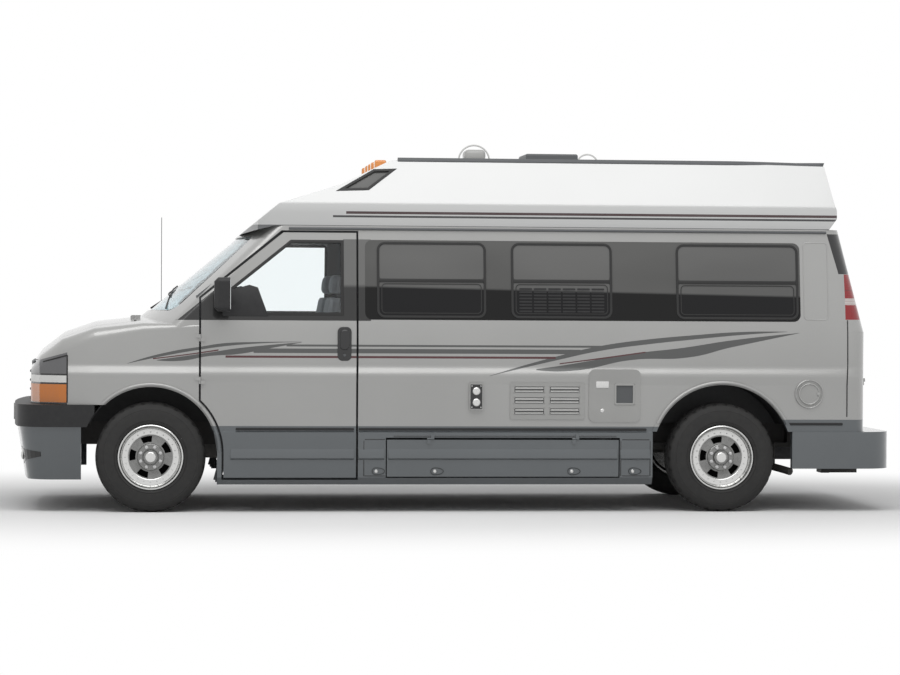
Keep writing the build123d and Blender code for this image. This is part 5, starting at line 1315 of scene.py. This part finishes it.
class VAN_OT_skirts(bpy.types.Operator):
    """Make the locks, joint lines, hinge, ledges and strips of the lower side"""

    bl_idname = "van.skirts"
    bl_label = "Skirts"

    def execute(self, context):
        locks = {body: [] for body in LOCK_TAGS}
        cups = {body: [] for body in LOCK_TAGS}
        for x, body in SKIRT_LOCKS:
            y = skin(x, SKIRT_LOCK_Z)
            locks[body].append(lathe(SKIRT_LOCK, (x, y, SKIRT_LOCK_Z), "Y", 28))
            cups[body].append(wall_ring(recess(x, SKIRT_LOCK_Z), y + 0.002, 0.004, -0.006))
        for body, tag in LOCK_TAGS.items():
            settle(locks[body], f"{tag}_locks", "bright_steel", body)
            settle(cups[body], f"{tag}_lock_cups", "moulded_black", body)
        lines = []
        for x in JOINT_X:
            y = skin(x, 0.40)
            lines.append(
                box((x - JOINT_HALF, y - 0.0012, 0.250), (x + JOINT_HALF, y + 0.006, 0.505), 0.0008)
            )
        for front, rear in JOINT_RUNS:
            for z in JOINT_Z:
                y = skin((front + rear) / 2, z)
                lines.append(
                    box((front, y - 0.0012, z - JOINT_HALF), (rear, y + 0.006, z + JOINT_HALF), 0.0008)
                )
        settle(lines, "skirt_joints", "gloss_black")
        y = skin(0.30, 0.527) - 0.004
        count, first, pitch, length, z = KNUCKLES
        knuckles = []
        for index in range(count):
            x = first + index * pitch
            knuckles.append(tube([(x, y, z), (x + length, y, z)], 0.0045, sides=2))
        settle(knuckles, "lid_piano_hinge", "grey_trim")
        ledges = {}
        for front, rear, body, side in LEDGES:
            y = skin((front + rear) / 2, 0.41, side)
            section = [(front, y + side * out, z) for z, out in LEDGE_SECTION]
            ledges.setdefault(body, []).append(plate(section, (rear - front, 0, 0)))
        for body, wedges in ledges.items():
            settle(wedges, f"cladding_ledge_{body}", "cladding_paint", body, edges=0.003)
        for name, front, rear, low, body, sides in RUB_STRIPS:
            outline = rounded((front, rear), (low, low + RUB_STRIP_HEIGHT), 0.006, 3)
            strips = [side_plate(outline, side, 0.002, 0.007) for side in sides]
            settle(strips, name, "moulded_black", body, edges=0.002)
        return {"FINISHED"}


# Wheel arches: middle, height, radius of the bead, first and last angle
ARCHES = ((-2.095, 0.405, 0.465, 2, 134), (1.842, 0.390, 0.505, 26, 154))
BEAD_RADIUS = 0.0125


class VAN_OT_arches(bpy.types.Operator):
    """Make the rolled edges of the wheel arches"""

    bl_idname = "van.arches"
    bl_label = "Wheel arches"

    def execute(self, context):
        beads = []
        for middle, height, radius, first, last in ARCHES:
            for side in (LEFT, RIGHT):
                points = []
                for angle in spaced(first, last, 41):
                    x = middle + radius * cos(radians(angle))
                    z = height + radius * sin(radians(angle))
                    points.append((x, skin(x, z, side), z))
                beads.append(tube(points, BEAD_RADIUS, smooth=True))
        settle(beads, "arch_beads", "body_paint", angle=60)
        return {"FINISHED"}


# Head lamps: rear edge, heights along it, length and slope of the brow
LAMP_REAR_X = -2.660
LAMP_REAR_Z = (0.745, 0.82, 0.90, 0.98, 1.066)
BROW_LENGTH = 0.165
BROW_SLOPE = 0.279
# Wipers: sideways places of foot and tip, heights of foot, tip and blade's ends, blade's ends from the tip
WIPERS = ((-0.62, -0.10), (0.10, 0.52))
WIPER_Z = (1.385, 1.52)
BLADE_Y = (-0.24, 0.16)
BLADE_Z = (1.47, 1.54)
# Aerial: foot, height of its top, profile of its boot
AERIAL = (-2.02, 0.85)
AERIAL_TOP = 2.055
AERIAL_BOOT = ((0, -0.004), (0.016, -0.004), (0.014, 0.010), (0.005, 0.035), (0, 0.036))
# Air dam's intake: centre of its corner, angles from straight ahead; heights and half heights at its ends
DAM_CENTRE = (-2.62, 0.55)
INTAKE_ANGLES = (16, 60)
INTAKE_Z = (0.378, 0.394)
INTAKE_HALF = (0.060, 0.016)
INTAKE_STEPS = 9
INTAKE_DEPTH = 0.004
DAM_LAMP = ((0, 0.006), (0.030, 0.006), (0.034, -0.002), (0.028, -0.010), (0.012, -0.016), (0, -0.017))


class VAN_OT_front(bpy.types.Operator):
    """Make the grille bars, lamp lines, wipers, aerial and intakes"""

    bl_idname = "van.front"
    bl_label = "Front end"

    def execute(self, context):
        self.grille()
        self.seals()
        self.wipers()
        foot = touch((*AERIAL, 3.0), (0, 0, -1))
        mast = tube([foot, foot + Vector((0, 0, 0.40)), (foot.x, foot.y, AERIAL_TOP)], 0.0022, sides=2)
        settle([mast, lathe(AERIAL_BOOT, foot, "Z", 24)], "aerial", "moulded_black")
        self.intakes()
        x = front_skin(0.0, 0.66).x
        blank = box((x - 0.008, -0.155, 0.60), (x + 0.012, 0.155, 0.715), 0.004)
        settle(blank, "plate_blank_front", "moulded_grey")
        return {"FINISHED"}

    def grille(self):
        """Bars across and down the grille."""
        low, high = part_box("grille")
        bars = []
        for z in spaced(low.z + 0.035, high.z - 0.035, 5):
            points = []
            for y in spaced(low.y + 0.03, high.y - 0.03, 13):
                points.append((front_skin(y, z).x - 0.001, y, z))
            bars.append(tube(points, 0.011, smooth=True))
        for y in (-0.30, 0.30):
            points = [front_skin(y, z) for z in spaced(low.z + 0.03, high.z - 0.03, 7)]
            bars.append(tube([(point.x + 0.002, point.y, point.z) for point in points], 0.008, smooth=True))
        settle(bars, "grille_bars", "grey_trim")

    def seals(self):
        """Seals at the sides of the windscreen and round the head lamps."""
        seals = []
        spots = [vertex.co for vertex in bpy.data.objects["windscreen"].data.vertices]
        for side in (LEFT, RIGHT):
            foot = max(spots, key=lambda spot: side * spot.y - spot.z)
            head = max(spots, key=lambda spot: side * spot.y + spot.z)
            line = []
            for share in spaced(0.05, 0.95, 11):
                spot = foot.lerp(head, share)
                line.append(front_skin(spot.y - side * 0.006, spot.z))
            seals.append(tube(line, 0.007, smooth=True))
            rear = [(LAMP_REAR_X, skin(LAMP_REAR_X, z, side), z) for z in LAMP_REAR_Z]
            brow = []
            for back in spaced(0.0, BROW_LENGTH, 9):
                x = LAMP_REAR_X - back
                z = LAMP_REAR_Z[-1] - BROW_SLOPE * back
                brow.append((x, skin(x, z, side), z))
            seals += [tube(rear, 0.005, smooth=True), tube(brow, 0.005, smooth=True)]
        settle(seals, "front_seals", "seal_rubber")

    def wipers(self):
        """Wiper arms and blades."""
        wipers = []
        for start, end in WIPERS:
            foot = front_skin(start, WIPER_Z[0])
            tip = front_skin(end, WIPER_Z[1])
            arm = [
                foot + Vector((-0.01, 0, 0.002)),
                (foot + tip) / 2 + Vector((-0.022, 0, 0.004)),
                tip + Vector((-0.012, 0, 0.004)),
            ]
            wipers.append(tube(arm, 0.006, smooth=True))
            blade = []
            for y, z in zip(spaced(end + BLADE_Y[0], end + BLADE_Y[1], 9), spaced(*BLADE_Z, 9)):
                blade.append(front_skin(y, z) + Vector((-0.008, 0, 0.003)))
            wipers.append(tube(blade, 0.0055, smooth=True))
        settle(wipers, "wipers", "moulded_black")

    def intakes(self):
        """Dark tapered intakes round the corners of the air dam, each with a lamp."""
        slots, lamps = [], []
        for side in (LEFT, RIGHT):
            columns = []
            for angle, middle, half in zip(
                spaced(*INTAKE_ANGLES, INTAKE_STEPS), spaced(*INTAKE_Z, INTAKE_STEPS),
                spaced(*INTAKE_HALF, INTAKE_STEPS),
            ):
                out = Vector((-cos(radians(angle)), side * sin(radians(angle)), 0))
                pair = []
                for z in (middle - half, middle + half):
                    start = Vector((DAM_CENTRE[0], side * DAM_CENTRE[1], z)) + out * FAR_Y
                    pair.append(touch(start, -out) - out * INTAKE_DEPTH)
                columns.append((out, pair))
            for (out, near), (after, far) in zip(columns, columns[1:]):
                slots.append(plate([near[0], far[0], far[1], near[1]], (out + after) * INTAKE_DEPTH))
            out, pair = columns[2]
            lamps.append(lathe(DAM_LAMP, (pair[0] + pair[1]) / 2 + out * 0.006, "X", 32))
        settle(lamps, "dam_lamps", "bright_alloy")
        settle(slots, "dam_intakes", "gloss_black")


# Tail pipe and its hanger; seam at the rear corner: station, heights of its ends
TAIL_PIPE = ((2.02, -0.52, 0.330), (2.14, -0.60, 0.322), (2.26, -0.74, 0.300), (2.35, -0.87, 0.272))
PIPE_HANGER = ((2.26, -0.74, 0.320), (2.26, -0.74, 0.470))
SEAM_X = 2.72
SEAM_Z = (0.66, 1.331)


class VAN_OT_rear(bpy.types.Operator):
    """Make the handle, seals, plate and stop lamp of the rear doors, the tail pipe and the corner seams"""

    bl_idname = "van.rear"
    bl_label = "Rear end"

    def execute(self, context):
        for _, name in SIDES:
            low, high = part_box(f"rear_glass_{name}")
            lean = (high.x - low.x - 0.012) / (high.z - low.z)
            outline = rounded((low.y - 0.004, high.y + 0.004), (low.z - 0.004, high.z + 0.004), BAND_CORNER)
            points = [(high.x + 0.008 - (z - low.z) * lean, y, z) for y, z in outline]
            seal = ring(points, context.scene.van_sizes.seal, (0.012, 0, 0))
            settle(seal, f"rear_seal_{name}", "seal_rubber", f"rear_door_{name}", edges=SEAL_EDGE)
        x = rear_skin(0.10, 1.10).x
        grip = box((x - 0.004, 0.055, 1.00), (x + 0.030, 0.125, 1.20), 0.012, 4)
        settle(grip, "rear_handle", "gloss_black", "rear_door_right")
        x = rear_skin(-0.40, 0.86).x
        blank = box((x - 0.006, -0.56, 0.80), (x + 0.010, -0.24, 0.955), 0.004)
        settle(blank, "plate_blank_rear", "moulded_grey", "rear_door_left")
        x = rear_skin(0.0, 1.93).x
        stop = box((x - 0.01, -0.16, 1.905), (x + 0.022, 0.16, 1.945), 0.008, 3)
        settle(stop, "high_stop_lamp", "tail_lens")
        settle([tube(TAIL_PIPE, 0.026, smooth=True), tube(PIPE_HANGER, 0.008)], "tail_pipe", "chassis_black")
        seams = []
        for side in (LEFT, RIGHT):
            seams.append(tube([(SEAM_X, skin(SEAM_X, z, side), z) for z in spaced(*SEAM_Z, 23)], 0.004))
        settle(seams, "corner_seams", "seal_rubber")
        return {"FINISHED"}


# Corners outside the brow windows
BROW_CORNERS = ((-0.838, 2.200), (-0.610, 2.208), (-0.408, 2.362), (-0.572, 2.356))
# Clearance lamps: places across the roof and half width
ROOF_LAMP_Y = (-0.62, -0.28, 0.0, 0.28, 0.62)
ROOF_LAMP_HALF = 0.045
# Grey bands of painted shade where the roof's edge curves away, and rails along the roof: front, rear; the
# rails' distance from the middle and height
ROOF_SHADE_X = (-0.40, 2.58)
RAIL_X = (-1.16, 2.58)
RAIL_YZ = (0.914, 1.940)


class VAN_OT_roof(bpy.types.Operator):
    """Make the brow windows' seals, the lamps, the grey bands of painted shade along the roof's edges and the
    rails of the roof
    """

    bl_idname = "van.roof"
    bl_label = "Roof"

    def execute(self, context):
        seals = []
        for side in (LEFT, RIGHT):
            points = [touch((x, side * FAR_Y, z), (0, -side, 0)) for x, z in BROW_CORNERS]
            out = (points[1] - points[0]).cross(points[3] - points[0]).normalized()
            if out.y * side < 0:
                out = -out
            seals.append(ring([point - out * 0.006 for point in points], 0.020, out * 0.010))
        settle(seals, "brow_seals", "seal_rubber", edges=0.003)
        lamps = []
        for y in ROOF_LAMP_Y:
            lamps.append(
                box((-0.556, y - ROOF_LAMP_HALF, 2.345), (-0.474, y + ROOF_LAMP_HALF, 2.426), 0.014, 3)
            )
        settle(lamps, "roof_lamps", "amber_lens")
        # Grey tubes along the roof's edges stand for the shade where the roof curves away: painted shade
        shade_bands, rails = [], []
        for side in (LEFT, RIGHT):
            points = [touch((x, side * 1.5, 2.9), (0, -side * 0.82, -0.5)) for x in spaced(*ROOF_SHADE_X, 16)]
            shade_bands.append(tube(points, 0.022, smooth=True))
        settle(shade_bands, "roof_edge_bands", "grey_trim")
        for side in (LEFT, RIGHT):
            rails.append(tube([(x, side * RAIL_YZ[0], RAIL_YZ[1]) for x in RAIL_X], 0.009))
        settle(rails, "drip_rails", "grey_trim")
        dome = box((0.135, -0.10, 2.455), (0.285, 0.10, 2.535), 0.03, 4)
        settle(dome, "roof_dome", "moulded_grey")
        return {"FINISHED"}


def cushion(low, high, crown, pinch, name, fill, turn=Matrix()):
    """Stuffed pad with a crowned top and sides that pull in between the corners."""
    low = Vector(low)
    high = Vector(high)
    pad = box(low, high, 0.03, 2)
    edit(pad)
    bpy.ops.mesh.subdivide(number_cuts=6)
    bpy.ops.object.mode_set(mode="OBJECT")
    middle = (low + high) / 2
    half = (high - low) / 2
    for vertex in pad.data.vertices:
        u, v, w = ((vertex.co[k] - middle[k]) / half[k] for k in range(3))
        swell = crown * (1 - u * u) * (1 - v * v)
        if w > 0:
            vertex.co.z += swell * w - crown
        vertex.co.x -= pinch * u * abs(u) * (1 - v * v) * (1 - abs(w))
        vertex.co.y -= pinch * v * abs(v) * (1 - u * u) * (1 - abs(w))
    pick(pad)
    soft = pad.modifiers.new("Soft", "SUBSURF")
    soft.levels = 2
    soft.render_levels = 2
    bpy.ops.object.modifier_apply(modifier=soft.name)
    pad.data.transform(turn)
    settle(pad, name, "seat_cloth", angle=60)
    return pad


# Seats: inner and outer edge from the middle, crown and pinch of the pads, foot and lean of the backs
SEAT_Y = (0.19, 0.68)
PAD_SWELL = (0.02, 0.02)
HEAD_SWELL = (0.012, 0.012)
BACK_FOOT = (-0.85, 0, 1.0)
BACK_LEAN = 8
HEAD_HALF = 0.12
SEAT_FILL = 0.7
BENCH_FILL = 0.6


class VAN_OT_seats(bpy.types.Operator):
    """Make the front seats and the rear bench"""

    bl_idname = "van.seats"
    bl_label = "Seats"

    def execute(self, context):
        back = Matrix.Translation(BACK_FOOT) @ Matrix.Rotation(radians(BACK_LEAN), 4, "Y")
        back = back @ Matrix.Rotation(radians(-90), 4, "Y")
        for side, name in SIDES:
            near, far = sorted(side * reach for reach in SEAT_Y)
            middle = (near + far) / 2
            cushion((-1.325, near, 0.905), (-0.86, far, 1.025), *PAD_SWELL, f"seat_base_{name}", SEAT_FILL)
            cushion((-0.02, near, -0.02), (0.47, far, 0.10), *PAD_SWELL, f"seat_back_{name}", SEAT_FILL, back)
            cushion(
                (0.49, middle - HEAD_HALF, -0.01), (0.63, middle + HEAD_HALF, 0.085), *HEAD_SWELL,
                f"seat_head_{name}", SEAT_FILL, back,
            )
            stand = box((-1.20, near + 0.06, 0.640), (-0.85, far - 0.06, 0.915), 0.02, 3)
            settle(stand, f"seat_stand_{name}", "moulded_black")
            if side == LEFT:
                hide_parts("front_seats")
        low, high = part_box("rear_bench")
        width = (high.y - low.y) / 2
        for index, start in enumerate((low.y, low.y + width)):
            pad = cushion(
                (low.x + 0.01, start + 0.006, low.z), (high.x - 0.01, start + width - 0.006, high.z),
                *PAD_SWELL, f"bench_pad_{index + 1}", BENCH_FILL,
            )
            if index == 0:
                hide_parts("rear_bench")
        return {"FINISHED"}


# Floor: grey as seen and as it throws light back; the oval round the van over which it fades to white
PAPER_SEEN = (0.94, 0.94, 0.94)
PAPER_BOUNCE = (0.34, 0.34, 0.34)
OVAL = (0.55, 1.0, 0.0)
FADE = (2.0, 4.5)
SEEN_RAYS = ("Is Camera Ray", "Is Glossy Ray", "Is Transmission Ray")
# Overhead lamp: place, length and width, tilt in degrees
LAMP_PLACE = (-1.0, -5.0, 9.0)
LAMP_SIZE = (11, 6)
LAMP_TILT = 26


class VAN_OT_stage(bpy.types.Operator):
    """Make the floor, the light and the camera"""

    bl_idname = "van.stage"
    bl_label = "Stage"

    def execute(self, context):
        setup = context.scene.van_stage
        scene = context.scene
        scene.view_settings.view_transform = "Standard"
        deselect()
        bpy.ops.mesh.primitive_plane_add(size=120)
        floor = context.object
        floor.name = "studio_floor"
        paper = Finish("floor_paper", PAPER_SEEN, Roughness=0.95)
        path = paper.add("ShaderNodeLightPath")
        seen = paper.either(*(path.outputs[ray] for ray in SEEN_RAYS))
        paper.colour_from(paper.mixed(seen, PAPER_BOUNCE, PAPER_SEEN))
        oval = paper.add("ShaderNodeVectorMath", operation="MULTIPLY")
        oval.inputs[1].default_value = OVAL
        paper.feed(paper.place, oval.inputs[0])
        reach = paper.add("ShaderNodeVectorMath", operation="LENGTH")
        paper.feed(oval.outputs[0], reach.inputs[0])
        fade = paper.add("ShaderNodeMixShader")
        paper.feed(paper.scaled(reach.outputs["Value"], *FADE, 0.0, 1.0, soft=True), fade.inputs["Fac"])
        paper.feed(paper.surface.outputs[0], fade.inputs[1])
        paper.feed(paper.add("ShaderNodeEmission").outputs[0], fade.inputs[2])
        paper.feed(fade.outputs[0], paper.tree.nodes["Material Output"].inputs["Surface"])
        floor.data.materials.append(paper.material)

        world = bpy.data.worlds.new("studio")
        world.use_nodes = True
        scene.world = world
        tree = world.node_tree
        path = tree.nodes.new("ShaderNodeLightPath")
        seen = path.outputs[SEEN_RAYS[0]]
        for ray in SEEN_RAYS[1:]:
            largest = tree.nodes.new("ShaderNodeMath")
            largest.operation = "MAXIMUM"
            tree.links.new(seen, largest.inputs[0])
            tree.links.new(path.outputs[ray], largest.inputs[1])
            seen = largest.outputs[0]
        strength = tree.nodes.new("ShaderNodeMapRange")
        strength.inputs["To Min"].default_value = setup.sky
        tree.links.new(seen, strength.inputs["Value"])
        backdrop = tree.nodes["Background"]
        backdrop.inputs["Color"].default_value = (1, 1, 1, 1)
        tree.links.new(strength.outputs[0], backdrop.inputs["Strength"])

        bpy.ops.object.light_add(type="AREA", location=LAMP_PLACE)
        lamp = context.object
        lamp.data.energy = setup.lamp
        lamp.data.shape = "RECTANGLE"
        lamp.data.size, lamp.data.size_y = LAMP_SIZE
        lamp.rotation_euler = (radians(LAMP_TILT), 0, 0)

        bpy.ops.object.camera_add(location=setup.camera, rotation=setup.turn)
        camera = context.object
        camera.data.lens = setup.lens
        camera.data.sensor_width = 36
        camera.data.clip_end = 200
        scene.camera = camera
        return {"FINISHED"}


OPERATORS = (
    VAN_OT_finishes,
    VAN_OT_side_windows,
    VAN_OT_front_doors,
    VAN_OT_jambs,
    VAN_OT_utility,
    VAN_OT_skirts,
    VAN_OT_arches,
    VAN_OT_front,
    VAN_OT_rear,
    VAN_OT_roof,
    VAN_OT_wheels,
    VAN_OT_seats,
    VAN_OT_stage,
)


class VAN_PT_looks(bpy.types.Panel):
    """Shows the settings of the camper van and a button for each step"""

    bl_label = "Camper van"
    bl_idname = "VAN_PT_looks"
    bl_space_type = "VIEW_3D"
    bl_region_type = "UI"
    bl_category = "Camper van"

    def draw(self, context):
        for group in (context.scene.van_paint, context.scene.van_sizes, context.scene.van_stage):
            for name in group.__annotations__:
                self.layout.prop(group, name)
        for operator in OPERATORS:
            self.layout.operator(operator.bl_idname)


GROUPS = (("van_paint", VanPaint), ("van_sizes", VanSizes), ("van_stage", VanStage))


def register():
    """Makes the settings, operators and panel known."""
    for name, group in GROUPS:
        bpy.utils.register_class(group)
        setattr(bpy.types.Scene, name, bpy.props.PointerProperty(type=group))
    for operator in OPERATORS:
        bpy.utils.register_class(operator)
    bpy.utils.register_class(VAN_PT_looks)


def unregister():
    """Takes them away again."""
    bpy.utils.unregister_class(VAN_PT_looks)
    for operator in OPERATORS:
        bpy.utils.unregister_class(operator)
    for name, group in GROUPS:
        delattr(bpy.types.Scene, name)
        bpy.utils.unregister_class(group)


def main():
    """Makes the settings known and builds every piece in order."""
    register()
    for operator in OPERATORS:
        group, name = operator.bl_idname.split(".")
        getattr(getattr(bpy.ops, group), name)()


if __name__ == "__main__":
    main()
